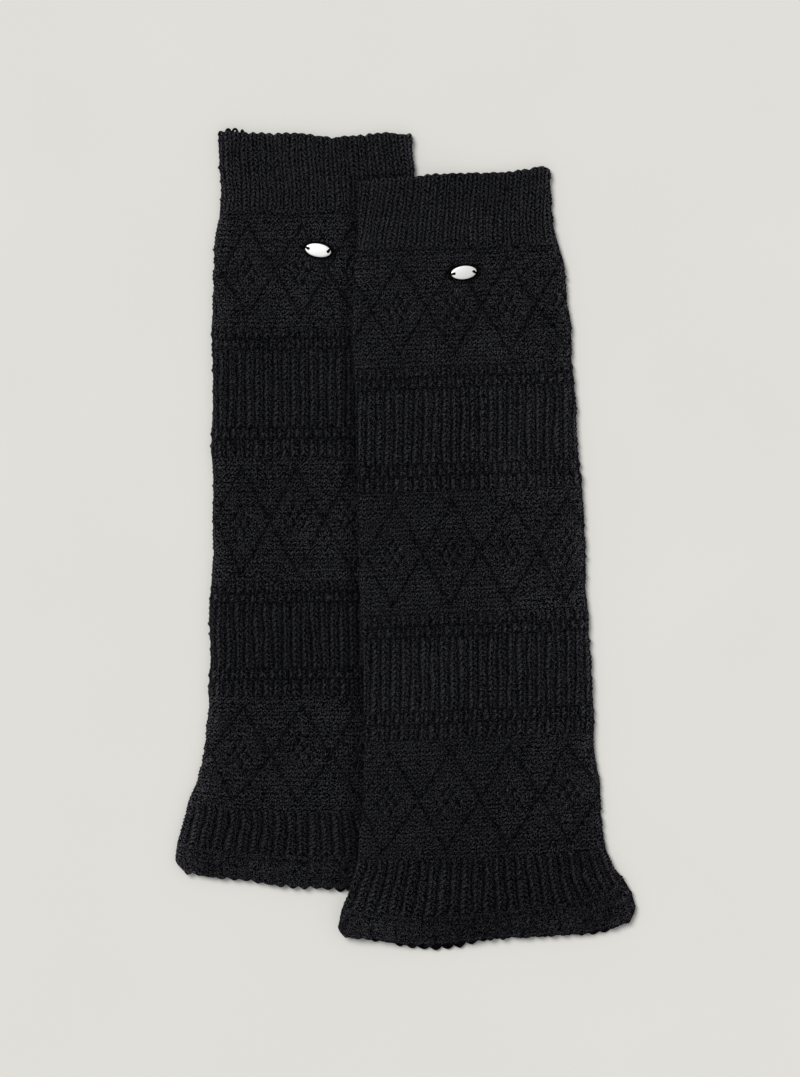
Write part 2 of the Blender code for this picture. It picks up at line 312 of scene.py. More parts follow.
UPPER = Warmer(
    name="upper",
    across=31.4,
    along=227.9,
    turn=2.4,
    drift=0.0163,
    straight_at=83.0,
    back_shows_at=-0.35,
    outer_side=1,
    glow_growth=0.0,
    inner_glow=0.2,
    stations=(
        Station(0.0, 61.6, 60.2, 0.0, -1.6),
        Station(24.0, 61.8, 60.2, 0.0, -0.8),
        Station(44.8, 63.6, 61.8),
        Station(62.0, 66.2, 66.2),
        Station(86.0, 68.0, 69.0),
        Station(122.0, 68.4, 69.3),
        Station(182.0, 69.2, 70.4),
        Station(236.0, 70.2, 72.3),
        Station(290.0, 70.9, 72.3),
        Station(345.0, 71.5, 73.3),
        Station(380.0, 73.6, 74.2),
        Station(405.0, 76.0, 75.8, 1.0),
        Station(429.0, 79.3, 77.3, 3.0),
        Station(446.0, 83.8, 82.2, 7.0, -2.0),
        Station(463.0, 90.1, 89.0, 11.0, -4.0),
        Station(470.0, 92.0, 92.6, 11.0, -3.2),
        Station(476.0, 93.2, 94.2, 9.5, -1.4),
        Station(481.0, 89.8, 90.6, 8.2, 0.2),
    ),
    creases=(
        Crease(-50.0, -4.0, -61.0, 50.0, 0.7, 8.0), Crease(-36.0, -4.0, -43.0, 36.0, 0.5, 8.0),
        Crease(-40.0, 420.0, -47.0, 478.0, 0.5, 10.0),
    ),
    leans=(
        Lean(at=26.0, reach=48.0, shift=-1.4, top=-70.0, most=-8.0, end=52.0),
        Lean(at=6.0, reach=14.0, shift=1.6, top=-10.0, most=46.0, end=74.0),
    ),
    edge=(
        EdgePoint(-58.0, 0.0), EdgePoint(-24.0, 0.8), EdgePoint(0.0, 1.5), EdgePoint(22.0, 0.2),
        EdgePoint(37.0, 0.3), EdgePoint(56.0, 1.8), EdgePoint(60.5, -0.2),
    ),
    hem_edge=(
        EdgePoint(-84.7, -1.7), EdgePoint(-69.6, 0.0), EdgePoint(-47.0, -1.7), EdgePoint(-24.4, -0.9),
        EdgePoint(-1.8, 0.9), EdgePoint(16.0, 1.5), EdgePoint(50.9, 0.6), EdgePoint(66.0, -1.5),
        EdgePoint(73.5, -1.3), EdgePoint(90.0, 0.0),
    ),
    bulges=(
        Bulge(50.0, 12.0, 1.5), Bulge(81.0, 9.0, -1.5), Bulge(118.0, 8.0, -0.7), Bulge(145.0, 9.0, 0.6),
        Bulge(207.0, 18.0, 0.9), Bulge(260.0, 10.0, -0.9), Bulge(317.0, 14.0, 0.4), Bulge(361.0, 11.0, -1.3),
        Bulge(384.0, 8.0, 1.1), Bulge(408.0, 8.0, -0.6), Bulge(446.0, 7.0, -0.7),
    ),
    patches=(
        Patch(10.0, 12.0, 60.0, 14.0, -0.10), Patch(-3.0, 46.0, 16.0, 34.0, 0.12),
        Patch(34.0, 163.0, 26.0, 40.0, 0.16), Patch(-60.0, 212.0, 16.0, 34.0, -0.14),
        Patch(-11.0, 232.0, 18.0, 22.0, -0.12), Patch(45.0, 282.0, 24.0, 34.0, 0.10),
        Patch(-15.0, 436.0, 20.0, 34.0, -0.12), Patch(47.0, 452.0, 32.0, 34.0, -0.12),
        Patch(-80.0, 468.0, 34.0, 26.0, 0.45),
    ),
)
WARMERS = (LOWER, UPPER)


def smooth_step(share):
    """A share eased between 0 and 1."""
    share = np.clip(share, 0.0, 1.0)
    return share * share * (3.0 - 2.0 * share)


def stations_at(stations, down):
    """Reach to the left and right, bow and skew at distances down, on smooth curves."""
    rows = np.array(stations) * MM
    knots = rows[:, 0]
    slopes = np.gradient(rows, axis=0)
    steps = np.gradient(knots)
    slopes /= steps[:, None]
    down = np.clip(down, knots[0], knots[-1])
    index = np.clip(np.searchsorted(knots, down) - 1, 0, len(knots) - 2)
    span = (knots[index + 1] - knots[index])[..., None]
    share = (down - knots[index])[..., None] / span
    rise = rows[index + 1] - rows[index]
    start_bend = slopes[index] * span - rise
    end_bend = rise - slopes[index + 1] * span
    bend = share * (1.0 - share) * ((1.0 - share) * start_bend + share * end_bend)
    values = rows[index] + rise * share + bend
    return values[..., 1], values[..., 2], values[..., 3], values[..., 4]


def own_place(warmer, x, y):
    """Places on the table as distances across and down from the middle of a warmer's cuff edge."""
    turn = math.radians(warmer.turn)
    across = x - warmer.across * MM
    along = y - warmer.along * MM
    own_across = across * math.cos(turn) + along * math.sin(turn)
    return own_across, across * math.sin(turn) - along * math.cos(turn)


def lift_over_lower(x, y):
    """Height that the lower warmer gives to cloth above places on the table."""
    across, down = own_place(LOWER, x, y)
    right = stations_at(LOWER.stations, down)[1]
    past_side = np.maximum(across - right, 0.0)
    past_hem = np.maximum(down - LOWER.stations[-1].down * MM - HEM_BACK_SHOWS, 0.0)
    past_edge = np.hypot(past_side, past_hem) - LEDGE
    return (FLAT_HEIGHT + CREST_GAP) * (1.0 - smooth_step(past_edge / DRAPE_RUN))


def shade_beside_upper(x, y):
    """Share of the light that reaches the lower warmer beside the upper one, painted into its tone as
    painted shade.
    """
    across, down = own_place(UPPER, x, y)
    left = stations_at(UPPER.stations, down)[0]
    gap = np.hypot(np.maximum(-left - across, 0.0), SHADE_ABOVE * np.maximum(-down, 0.0))
    gap = gap / (1.0 + SHADE_GROWTH * np.clip(down / WARMER_LENGTH, 0.0, 1.0))
    return 1.0 - SHADE * (1.0 - smooth_step((gap - SHADE_FROM) / (SHADE_TO - SHADE_FROM)))


def painted_patches_at(warmer, x, y):
    """Painted light and shade of the patches, as a factor on the tone at places on the table."""
    across, down = own_place(warmer, x, y)
    tone = 1.0
    for patch in warmer.patches:
        aside = (across / MM - patch.across) / patch.wide
        along = (down / MM - patch.down) / patch.long
        tone = tone + patch.gain * np.exp(-(aside**2) - along**2)
    return tone


def creases_at(warmer, across, down):
    """Depth of the creases in the front layer."""
    depth = np.zeros_like(across)
    for crease in warmer.creases:
        start = np.array((crease.top_across, crease.top_down)) * MM
        run = np.array((crease.end_across, crease.end_down)) * MM - start
        length = math.hypot(*run)
        offset_x = across - start[0]
        offset_y = down - start[1]
        share = (offset_x * run[0] + offset_y * run[1]) / length**2
        aside = np.abs(offset_x * run[1] - offset_y * run[0]) / length
        fade = smooth_step((1.0 - share) / CREASE_FADE)
        if crease.top_down > 0.0:
            fade = fade * smooth_step(share / CREASE_FADE)
        depth += crease.depth * MM * fade * (1.0 - smooth_step(aside / (crease.spread * MM)))
    return depth


def bulges_at(warmer, down):
    """How far the outer side stands out from its stations."""
    return sum(
        bulge.out * MM * np.exp(-(((down / MM - bulge.down) / bulge.reach) ** 2)) for bulge in warmer.bulges
    )


def place_on_tube(warmer, wale, down, inset, hem_share):
    """Places on the flattened tube.

    wale: stitches round from the left fold, over the front to the right and back underneath
    inset: depth under the cloth's outer face; hem_share: 0, or 0 to 1 through the turned hem
    """
    left, right, bow, skew = stations_at(warmer.stations, down)
    if warmer.outer_side < 0:
        left = left + bulges_at(warmer, down)
    else:
        right = right + bulges_at(warmer, down)
    face = left + right - FLAT_HEIGHT + math.pi * FOLD
    round_tube = (wale % WALES) / FACE_WALES * face
    underneath = round_tube >= face
    along = np.where(underneath, 2 * face - round_tube, round_tube)
    quarter = math.pi / 2 * FOLD
    from_fold = np.minimum(along, face - along)
    angle = np.minimum(from_fold / FOLD, math.pi / 2)
    radius = FOLD - inset
    reach = FOLD - radius * np.cos(angle)
    flat = np.maximum(from_fold - quarter, 0.0)
    across = np.where(along < face / 2, -left + reach + flat, right - reach - flat)
    height = FOLD + np.where(underneath, -1.0, 1.0) * radius * np.sin(angle)

    # The courses bow and skew, and the open edges wave.
    aside = across / ((left + right) / 2)
    fall = down - bow * np.abs(aside) ** 3 + skew * aside
    back = np.maximum(np.cos(math.pi * (aside - warmer.back_shows_at)), 0.0) ** 2
    fall = fall + np.where(underneath, HEM_BACK_SHOWS * hem_share**2 * back, 0.0)
    rise = np.interp(across, *(np.array(warmer.edge).T * MM))
    fall = fall - rise * (1.0 - smooth_step(down / EDGE_FADE))
    rise = np.interp(across, *(np.array(warmer.hem_edge).T * MM))
    fall = fall - rise * smooth_step(hem_share)

    # The front layer takes the creases, in full from a little above the fold's middle.
    front = np.clip((height - FOLD) / CREASED_ABOVE, 0.0, 1.0)
    height = height - creases_at(warmer, across, fall) * front
    turn = math.radians(warmer.turn)
    x = warmer.across * MM + across * math.cos(turn) + fall * math.sin(turn)
    y = warmer.along * MM + across * math.sin(turn) - fall * math.cos(turn)
    if warmer is UPPER:
        height = height + lift_over_lower(x, y)
    return np.stack((x, y, height), axis=-1)


def soft_noise(random, rows, spread_down, spread_round):
    """Random values for each course line and wale, smoothed down and round the tube."""
    values = random.normal(size=(rows, WALES))
    for axis, spread in ((0, spread_down), (1, spread_round)):
        values = sum(np.roll(values, step, axis=axis) for step in range(-spread, spread + 1))
        values = values / math.sqrt(2 * spread + 1)
    return values


def read_noise(values, course, wale):
    """Reads a table of noise between its rows and wales."""
    course = np.clip(course, 0.0, len(values) - 1.0)
    row = np.minimum(course.astype(int), len(values) - 2)
    column = np.floor(wale % WALES).astype(int)
    down_share = course - row
    round_share = wale % 1.0
    after = (column + 1) % WALES
    above = values[row, column] * (1.0 - round_share) + values[row, after] * round_share
    below = values[row + 1, column] * (1.0 - round_share) + values[row + 1, after] * round_share
    return above * (1.0 - down_share) + below * down_share


def lean_of_wales(warmer, wale, down):
    """Wales by which the ribs have moved sideways."""
    moved = np.zeros_like(wale + down)
    for lean in warmer.leans:
        aside = np.abs((wale - lean.at + FACE_WALES) % WALES - FACE_WALES)
        near = 1.0 - smooth_step(aside / lean.reach)
        rising = smooth_step((down - lean.top * MM) / ((lean.most - lean.top) * MM))
        falling = 1.0 - smooth_step((down - lean.most * MM) / ((lean.end - lean.most) * MM))
        moved = moved + lean.shift * near * rising * falling
    return moved


def mesh_columns(warmer, top, bottom, back_columns):
    """Wales of the cloth at which the mesh has a column, once round the tube."""
    twists = [warmer.drift * (down / MM - warmer.straight_at) for down in (top, bottom)]
    first = 2 * math.floor((min(twists) - FOLD_WALES) / 2)
    last = 2 * math.ceil((max(twists) + FACE_WALES + FOLD_WALES) / 2)
    face = np.arange(first, last, 1.0 / FACE_COLUMNS)
    back = np.arange(last, first + WALES + 0.5 / back_columns, 1.0 / back_columns)
    return np.concatenate((face, back))


def mesh_rows(count, rows, opens_up, opens_down):
    """Mesh rows once through the wall: up its face, over the top rim, down inside, and round.

    They are columns of each row's course, its depth under the face, how far it lies past the
    open edge, and how far it shows, from 0 inside to 1 on the face.
    """
    rim = KNIT_WALL / 2

    def rim_rows(course, angles, way):
        insets = (rim * (1.0 - math.cos(angle)) for angle in angles)
        return [
            (course, inset, way * rim * math.sin(angle), 0.5 + 0.5 * math.cos(angle))
            for angle, inset in zip(angles, insets)
        ]

    through = [(course, 0.0, 0.0, 1.0) for course in np.linspace(count, 0, count * rows + 1)]
    if opens_up:
        through += rim_rows(0.0, RIM_ANGLES, -1.0)
    through += [(course, KNIT_WALL, 0.0, 0.0) for course in np.linspace(0, count, INNER_ROWS)]
    if opens_down:
        through += rim_rows(float(count), RIM_ANGLES[::-1], 1.0)
    through.append(through[0])
    return [np.array(values)[:, None] for values in zip(*through)]


def place_in_scene(name, data):
    """A new object that holds some data."""
    thing = bpy.data.objects.new(name, data)
    bpy.context.scene.collection.objects.link(thing)
    return thing


def new_piece(name, mesh, material):
    """A piece of the pair: an object with a mesh of one material, which rides on the cloth's body."""
    mesh.materials.append(material)
    piece = place_in_scene(name, mesh)
    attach(piece, "root")
    return piece


def no_step(course):
    """The step of a band whose ribs run on without a break."""
    return 0.0 * course


def close_shell(name, columns, course, places, values, step_at, flat_rows):
    """A closed shell from a grid of places, joined round and through the tube.

    columns, course: each column's wale and each row's course, for the map of the stitches
    values: attributes of the places, by name
    step_at: function of course that gives how many wales its stitches are out of step
    flat_rows: rows of faces at the cut ends, where the next band butts on
    """
    steps_round, steps_through = len(columns) - 1, len(course) - 1
    shape = bmesh.new()
    bmesh.ops.create_grid(shape, x_segments=steps_round, y_segments=steps_through, size=0.5)
    mesh = bpy.data.meshes.new(name)
    shape.to_mesh(mesh)
    mesh.vertices.foreach_set("co", places.reshape(-1).astype(np.float32))
    for attribute_name, value in values.items():
        attribute = mesh.attributes.new(attribute_name, "FLOAT", "POINT")
        attribute.data.foreach_set("value", value.reshape(-1).astype(np.float32))
    corner = np.empty(len(mesh.loops), np.int32)
    mesh.loops.foreach_get("vertex_index", corner)
    row, column = np.divmod(corner, len(columns))
    face_row = np.repeat(np.arange(steps_through), steps_round * 4)
    step = step_at((course[face_row, 0] + course[face_row + 1, 0]) / 2)
    stitch_places = np.stack((columns[column] + step, course[row, 0]), axis=-1)
    even_places = np.stack((column / steps_round, row / steps_through), axis=-1)
    for layer_name, uv in (("OFBake", even_places), ("stitches", stitch_places)):
        layer = mesh.uv_layers.new(name=layer_name)
        layer.uv.foreach_set("vector", uv.reshape(-1).astype(np.float32))
    smooth = np.ones((steps_through, steps_round), bool)
    smooth[flat_rows] = False
    mesh.polygons.foreach_set("use_smooth", smooth.reshape(-1))
    shape.clear()
    shape.from_mesh(mesh)
    bmesh.ops.remove_doubles(shape, verts=shape.verts, dist=MERGE_DISTANCE)
    shape.to_mesh(mesh)
    shape.free()
    return mesh


def ease_ends(level, tone, course, count, opens_up, opens_down):
    """Brings level and tone to those of a join, or of an open edge's rim, at a band's two ends: painted
    shade at a join, a painted highlight at a rim.
    """
    for is_open, distance in ((opens_up, course), (opens_down, count - course)):
        near = smooth_step(distance / JOIN_COURSES)
        level = level * near + (EDGE_LEVEL if is_open else JOIN_LEVEL) * (1.0 - near)
        if is_open:
            tone = tone * (1.0 + (EDGE_TONE - 1.0) * (1.0 - smooth_step(distance / EDGE_COURSES)))
        else:
            tone = tone * near + JOIN_TONE * (1.0 - near)
    return level, tone


def paint_sheen_and_shade(warmer, tone, at, from_fold, down, places, mottle):
    """Tone with painted sheen along the folds, painted light and shade in patches, random mottling, and
    painted shade beside the upper warmer.
    """
    is_left = np.abs((at + FACE_WALES) % WALES - FACE_WALES) < FACE_WALES / 2
    is_outer = is_left == (warmer.outer_side < 0)
    growth = smooth_step((down - GLOW_GROWS_FROM) / (GLOW_GROWS_TO - GLOW_GROWS_FROM))
    growth = warmer.glow_growth * growth
    glow = np.where(is_outer, FOLD_GLOW * (1.0 + growth), warmer.inner_glow)
    tone = tone * (1.0 + glow * np.exp(-((from_fold / (GLOW_REACH + GLOW_SPREAD * growth)) ** 2)))
    tone = tone * painted_patches_at(warmer, places[..., 0], places[..., 1])
    tone = tone * (1.0 + MOTTLE * mottle)
    if warmer is LOWER:
        tone = tone * shade_beside_upper(places[..., 0], places[..., 1])
    return tone


def knit_band(
    warmer, place, lines, stitches, yarn, seed, rows=COURSE_ROWS,
    step_at=no_step, opens_up=False, opens_down=False,
):
    """Knits one band as a closed shell and returns its piece.

    lines: distances down of the lines between courses, in millimetres
    stitches: function of wale and course that gives the face's level, its tone and how far its
    stitches are knit stitches, whose legs show, from 0 to 1
    rows: mesh rows a course
    step_at: function of course that gives how many wales its stitches are out of step
    """
    random = np.random.default_rng(seed)
    lines = np.array(lines) * MM
    count = len(lines) - 1
    top, bottom = lines[0], lines[-1]
    if opens_up:
        lines[0] += KNIT_WALL / 2
    if opens_down:
        lines[-1] -= KNIT_WALL / 2
    columns = mesh_columns(warmer, top, bottom, FACE_COLUMNS if opens_down else BACK_COLUMNS)
    course, inset, past_edge, showing = mesh_rows(count, rows, opens_up, opens_down)
    wale = columns[None, :]

    def noise(spread_down, spread_round):
        return read_noise(soft_noise(random, count + 1, spread_down, spread_round), course, wale)

    level, tone, knit = stitches(wale, course)
    level = level + STITCH_PLUMP * MM * noise(0, 0)
    level, tone = ease_ends(level, tone, course, count, opens_up, opens_down)

    # Where each stitch lies: courses sag, open edges are scalloped, and wales sway and lean.
    fade = smooth_step(np.minimum(course, count - course) / WANDER_COURSES)
    line_down = np.interp(course, np.arange(count + 1), lines)
    down = line_down + past_edge + COURSE_WANDER * fade * noise(0, 3)
    bump = np.abs(np.sin(math.pi / 2 * wale)) - SCALLOP_MIDDLE
    uneven = read_noise(soft_noise(random, 2, 0, 0), 0.0 * course, wale)
    if opens_up:
        reach = CUFF_SCALLOP * bump + CUFF_UNEVEN * uneven
        down = down - reach * (1.0 - smooth_step(course / SCALLOP_COURSES))
    if opens_down:
        reach = HEM_SCALLOP * bump + HEM_UNEVEN * uneven
        down = down + reach * (1.0 - smooth_step((count - course) / SCALLOP_COURSES))
    twist = warmer.drift * (line_down / MM - warmer.straight_at)
    at = wale - twist + WALE_WANDER * fade * noise(2, 0)
    at = at - lean_of_wales(warmer, at, down)

    # Stitches on the folds stand out, and those underneath are low.
    from_fold = np.abs((at + FACE_WALES / 2) % FACE_WALES - FACE_WALES / 2)
    near_fold = (1.0 - smooth_step(from_fold / FOLD_REACH)) * fade
    knobs = FOLD_PLUMP * noise(0, 2) + FOLD_STITCH * np.cos(math.tau * course)
    if opens_down:
        knobs = HEM_FOLD_SHARE * knobs
    level = level + near_fold * knobs * MM
    under_level = np.minimum(level * UNDER_RELIEF + UNDER_LEVEL, -UNDERSIDE_CLEAR)
    level = np.where(at % WALES > FACE_WALES, under_level, level)
    hem_share = np.clip((down - top) / (bottom - top), 0.0, 1.0) if opens_down else 0.0 * down
    places = place_on_tube(warmer, at, down, inset - level * showing, hem_share)

    tone = paint_sheen_and_shade(warmer, tone, at, from_fold, down, places, noise(2, 4))
    tone = INNER_TONE + (tone - INNER_TONE) * showing
    values = {"tone": tone, "knit": knit + 0.0 * tone}
    cut_ends = [row for row, is_open in ((count * rows, opens_up), (-1, opens_down)) if not is_open]
    name = f"{warmer.name}_{place}"
    return new_piece(name, close_shell(name, columns, course, places, values, step_at, cut_ends), yarn)


def declare_cloth(warmer, top, bottom):
    """Reads a band's reach to each side at steps down its length, and keeps nothing."""
    down = np.linspace(top, bottom, GIRTH_STEPS) * MM
    left, right = stations_at(warmer.stations, down)[:2]


# Ribs: each cord is two wales wide with the narrow trough of the purl wale at its side. Its
# stitches lie like beads on a string, and where the rib is slack a groove parts their two legs.
RIB_WALES = 2.0
TROUGH_HALF = 0.30
RIB_DEPTH = 0.55 * MM
RIB_TROUGH_TONE = 0.34
RIB_STROKE = 0.12 * MM
STROKE_MIDDLE = 0.6
RIB_LEAN = 1.0
GROOVE_HALF = 0.27
GROOVE_DEPTH = 0.5 * MM
CUFF_GROOVE = 0.62
CUFF_TONE = 1.03


def rib_stitches(wale, course, groove_tone):
    """Level, tone and knit share of a 1x1 rib; groove_tone is how dark the painted shade in its cords'
    groove is.
    """
    across = wale % RIB_WALES - RIB_WALES / 2
    cord = 1.0 - np.exp(-(((RIB_WALES / 2 - np.abs(across)) / TROUGH_HALF) ** 2))
    stroke = 0.5 + 0.5 * np.cos(math.tau * (course - RIB_LEAN * np.abs(across)))
    groove = groove_tone * np.exp(-((across / GROOVE_HALF) ** 2))
    bead = RIB_STROKE * (stroke - STROKE_MIDDLE) - GROOVE_DEPTH * groove
    level = -RIB_DEPTH * (1.0 - cord) + bead * cord
    # The trough and the cords' groove are painted darker: painted shade.
    tone = RIB_TROUGH_TONE + (1.0 - RIB_TROUGH_TONE) * cord
    return level, tone * (1.0 - groove), cord


def toned_rib(base_tone, groove_tone):
    """Level, tone and knit share of plain ribs, as a function of wale and course."""

    def stitches(wale, course):
        level, tone, knit = rib_stitches(wale, course, groove_tone)
        return level, base_tone * tone, knit

    return stitches


def linear(hex_colour):
    """An sRGB hex colour as the linear RGBA that Blender's sockets take."""
    parts = [int(hex_colour[place : place + 2], 16) / 255 for place in (1, 3, 5)]
    return (*(part / 12.92 if part <= 0.04045 else ((part + 0.055) / 1.055) ** 2.4 for part in parts), 1.0)


def add_node(tree, kind, inputs=None, **settings):
    """Adds a node with its settings; an input is a value, or an output to link from."""
    node = tree.nodes.new(kind)
    for setting, value in settings.items():
        setattr(node, setting, value)
    for socket, value in (inputs or {}).items():
        if isinstance(value, bpy.types.NodeSocket):
            tree.links.new(value, node.inputs[socket])
        else:
            node.inputs[socket].default_value = value
    return node


def new_material(name, **values):
    """A material with its tree and its shader, some of whose values are set."""
    material = bpy.data.materials.new(name)
    material.use_nodes = True
    shader = material.node_tree.nodes["Principled BSDF"]
    for socket, value in values.items():
        shader.inputs[socket.replace("_", " ")].default_value = value
    return material, material.node_tree, shader


class Stitch(NamedTuple):
    """How one kind of stitch shows in the yarn.

    wales: its width with both legs; lean: courses by which a leg climbs a wale
    stroke: a painted highlight, how much lighter a leg is along its middle
    round_leg: painted shade, how much darker a leg is at its sides
    right_shade: painted shade, how much less light the right legs take, and right_stroke the share
    of the stroke that they show; unlike: how much legs differ; bend: how far stitches are out of line
    """

    wales: float
    lean: float
    stroke: float
    round_leg: float
    right_shade: float
    right_stroke: float
    unlike: float
    bend: float


# The yarn: two plies of brushed wool and acrylic, charcoal black, with paler fibres in it. The
# fibres are drawn as coarse as they need to be to show.
YARN_DARK = "#020204"
YARN_PALE = "#3d3d40"
YARN_ROUGHNESS = 0.95
YARN_SPECULAR = 0.01
FIBRE_SIZE = 0.55 * MM
FIBRE_SHARE = 3.0
BEND_SCALE = 0.5
TONE_LOW = 1.55
TONE_HIGH = 2.46
YARN_BUMP = 0.5
YARN_RELIEF = 0.2 * MM


def yarn_material(name, stitch):
    """Black wool and acrylic yarn, knitted: matt, with painted shade between the stitches and painted
    highlights along their legs.
    """
    material, tree, shader = new_material(name, Roughness=YARN_ROUGHNESS, Specular_IOR_Level=YARN_SPECULAR)

    def maths(operation, first, second=0.0):
        return add_node(tree, "ShaderNodeMath", {0: first, 1: second}, operation=operation).outputs[0]

    # Where the point lies in its stitch; slow noise keeps the stitches from being all alike.
    place = add_node(tree, "ShaderNodeTexCoord").outputs["Object"]
    uv = add_node(tree, "ShaderNodeUVMap", uv_map="stitches").outputs["UV"]
    slow = {"Vector": uv, "Scale": BEND_SCALE, "Detail": 2.0}
    bend = add_node(tree, "ShaderNodeTexNoise", slow, noise_dimensions="2D").outputs["Color"]
    moved = {0: bend, 1: (stitch.bend, stitch.bend, 0.0), 2: uv}
    bent = add_node(tree, "ShaderNodeVectorMath", moved, operation="MULTIPLY_ADD")
    parts = add_node(tree, "ShaderNodeSeparateXYZ", {0: bent.outputs[0]})
    wale, course = parts.outputs["X"], parts.outputs["Y"]
    off = maths("PINGPONG", maths("ADD", wale, stitch.wales / 2), stitch.wales / 2)
    run = maths("SUBTRACT", course, maths("MULTIPLY", off, stitch.lean))
    stroke = maths("COSINE", maths("MULTIPLY", run, math.tau))

    # Each leg of a stitch differs a little in tone at random, and the right legs are painted darker: painted
    # shade, with the light from the upper left.
    leg_across = maths("FLOOR", maths("MULTIPLY", wale, 2.0 / stitch.wales))
    leg_down = maths("FLOOR", maths("ADD", run, 0.5))
    leg = add_node(tree, "ShaderNodeCombineXYZ", {"X": leg_across, "Y": leg_down}).outputs[0]
    leg_tone = add_node(tree, "ShaderNodeTexWhiteNoise", {"Vector": leg}, noise_dimensions="2D")
    is_right = maths("FLOORED_MODULO", leg_across, 2.0)
    from_leg = maths("DIVIDE", maths("SUBTRACT", off, stitch.wales / 4), stitch.wales / 4)
    roundness = maths("SUBTRACT", 1.0, maths("MULTIPLY", from_leg, from_leg))

    # The stroke is a painted highlight along each leg's middle, and the roundness painted shade at its
    # sides.
    # The fibres are added, and the sum picks a colour between the dark and the pale yarn.
    fine = {"Vector": place, "Scale": 1.0 / FIBRE_SIZE, "Detail": 0.0}
    fibre = add_node(tree, "ShaderNodeTexNoise", fine).outputs["Fac"]
    stroke_share = maths("SUBTRACT", 1.0, maths("MULTIPLY", is_right, 1.0 - stitch.right_stroke))
    knit = add_node(tree, "ShaderNodeAttribute", attribute_name="knit").outputs["Fac"]
    tone = maths("MULTIPLY", maths("MULTIPLY", stroke, stroke_share), maths("MULTIPLY", knit, stitch.stroke))
    tone = maths("ADD", tone, maths("MULTIPLY", roundness, stitch.round_leg))
    tone = maths("ADD", tone, maths("MULTIPLY", fibre, FIBRE_SHARE))
    tone = maths("ADD", tone, maths("MULTIPLY", leg_tone.outputs["Value"], stitch.unlike))
    tone = maths("SUBTRACT", tone, maths("MULTIPLY", is_right, stitch.right_shade))
    limits = {"Value": tone, "From Min": TONE_LOW, "From Max": TONE_HIGH}
    share = add_node(tree, "ShaderNodeMapRange", limits).outputs[0]
    colours = {"Factor": share, "A": linear(YARN_DARK), "B": linear(YARN_PALE)}
    yarn = add_node(tree, "ShaderNodeMix", colours, data_type="RGBA").outputs["Result"]
    # The tone attribute multiplies in the cloth's painted light and shade and its random mottling.
    painted_light_tone = add_node(tree, "ShaderNodeAttribute", attribute_name="tone").outputs["Fac"]
    shaded = add_node(tree, "ShaderNodeVectorMath", {0: yarn, "Scale": painted_light_tone}, operation="SCALE")
    tree.links.new(shaded.outputs[0], shader.inputs["Base Color"])
    bump = add_node(tree, "ShaderNodeBump", {"Height": tone, "Strength": YARN_BUMP, "Distance": YARN_RELIEF})
    tree.links.new(bump.outputs[0], shader.inputs["Normal"])
    return material


RIB_STITCH = Stitch(
    wales=RIB_WALES, lean=RIB_LEAN, stroke=0.30, round_leg=0.32,
    right_shade=0.22, right_stroke=0.5, unlike=0.10, bend=0.3,
)
CUFF_STITCH = RIB_STITCH._replace(right_shade=0.04, right_stroke=0.8, stroke=0.34)
RIB_YARN = yarn_material("rib-knit wool and acrylic yarn", RIB_STITCH)
CUFF_YARN = yarn_material("cuff-knit wool and acrylic yarn", CUFF_STITCH)
CUFF_COURSES = 17
CUFF_ENDS = {"lower": 46.2, "upper": 45.0}

for warmer in WARMERS:
    end = CUFF_ENDS[warmer.name]
    lines = np.linspace(0.0, end, CUFF_COURSES + 1)
    stitches = toned_rib(CUFF_TONE, CUFF_GROOVE)
    cuff = knit_band(warmer, "knit_cuff", lines, stitches, CUFF_YARN, seed=11, opens_up=True)
    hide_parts(f"{warmer.name}_cuff")
    declare_cloth(warmer, 0.0, end)

# ======== The diamond panels ========
# The leg has three stockinette panels in the same yarn, knitted on without a seam. A lattice of
# sunk purl lines makes a row of diamonds, twelve stitches wide, and each diamond has a lozenge
# of moss stitch in its middle.

DIAMOND_WALES = 12
PANEL_COURSES = 28
PANEL_ROWS = 3
PLAIN_LEVEL = -0.38 * MM
PLAIN_TONE = 0.92
CUFF_SHADE = 0.3
CUFF_SHADE_COURSES = 1.3

# The legs of the plain stitches, and the sunk lines between the raised lips of the lattice.
LEG_AT = 0.25
LEG_HALF = 0.3
LEG_HEIGHT = 0.22 * MM
LEG_BASE = 0.45
LEG_LEAN = 1.1
LINE_DEPTH = 0.34 * MM
LINE_HALF = 0.31
LINE_TONE = 0.84
LINE_DASH = 0.5
LIP_HEIGHT = 0.08 * MM
LIP_AT = 1.15
LIP_HALF = 0.45

# The moss stitch: its bumps, the pits between them and the loops across them.
MOSS_LEVEL = -0.30 * MM
MOSS_HEIGHT = 0.34 * MM
MOSS_TONE = 1.0
MOSS_PIT_TONE = 0.08
BUMP_SHARE = 0.7
PIT_SHARE = 0.55
LOOP_SHARE = 0.4
LOZENGE_WALES = 3.1
LOZENGE_COURSES = 4.4
LOZENGE_EDGE = 5.0


class Panel(NamedTuple):
    """One diamond panel: its ends in mm, a diamond's top stitch, its first and last course, its tone."""

    warmer: Warmer
    place: str
    top: float
    bottom: float
    apex: float
    first: float
    last: float
    tone: float


# Each panel's tone is an overall painted shade, darker towards the hem.
PANELS = (
    Panel(LOWER, "top", top=46.2, bottom=119.9, apex=8.3, first=3.2, last=24.8, tone=1.0),
    Panel(LOWER, "middle", top=201.0, bottom=279.5, apex=7.0, first=2.25, last=25.75, tone=0.92),
    Panel(LOWER, "bottom", top=350.8, bottom=423.4, apex=7.9, first=2.25, last=25.75, tone=0.91),
    Panel(UPPER, "top", top=45.0, bottom=120.5, apex=10.6, first=3.2, last=24.8, tone=0.98),
    Panel(UPPER, "middle", top=198.0, bottom=275.2, apex=10.2, first=2.25, last=25.75, tone=0.97),
    Panel(UPPER, "bottom", top=353.4, bottom=429.0, apex=10.6, first=2.25, last=25.75, tone=0.89),
)


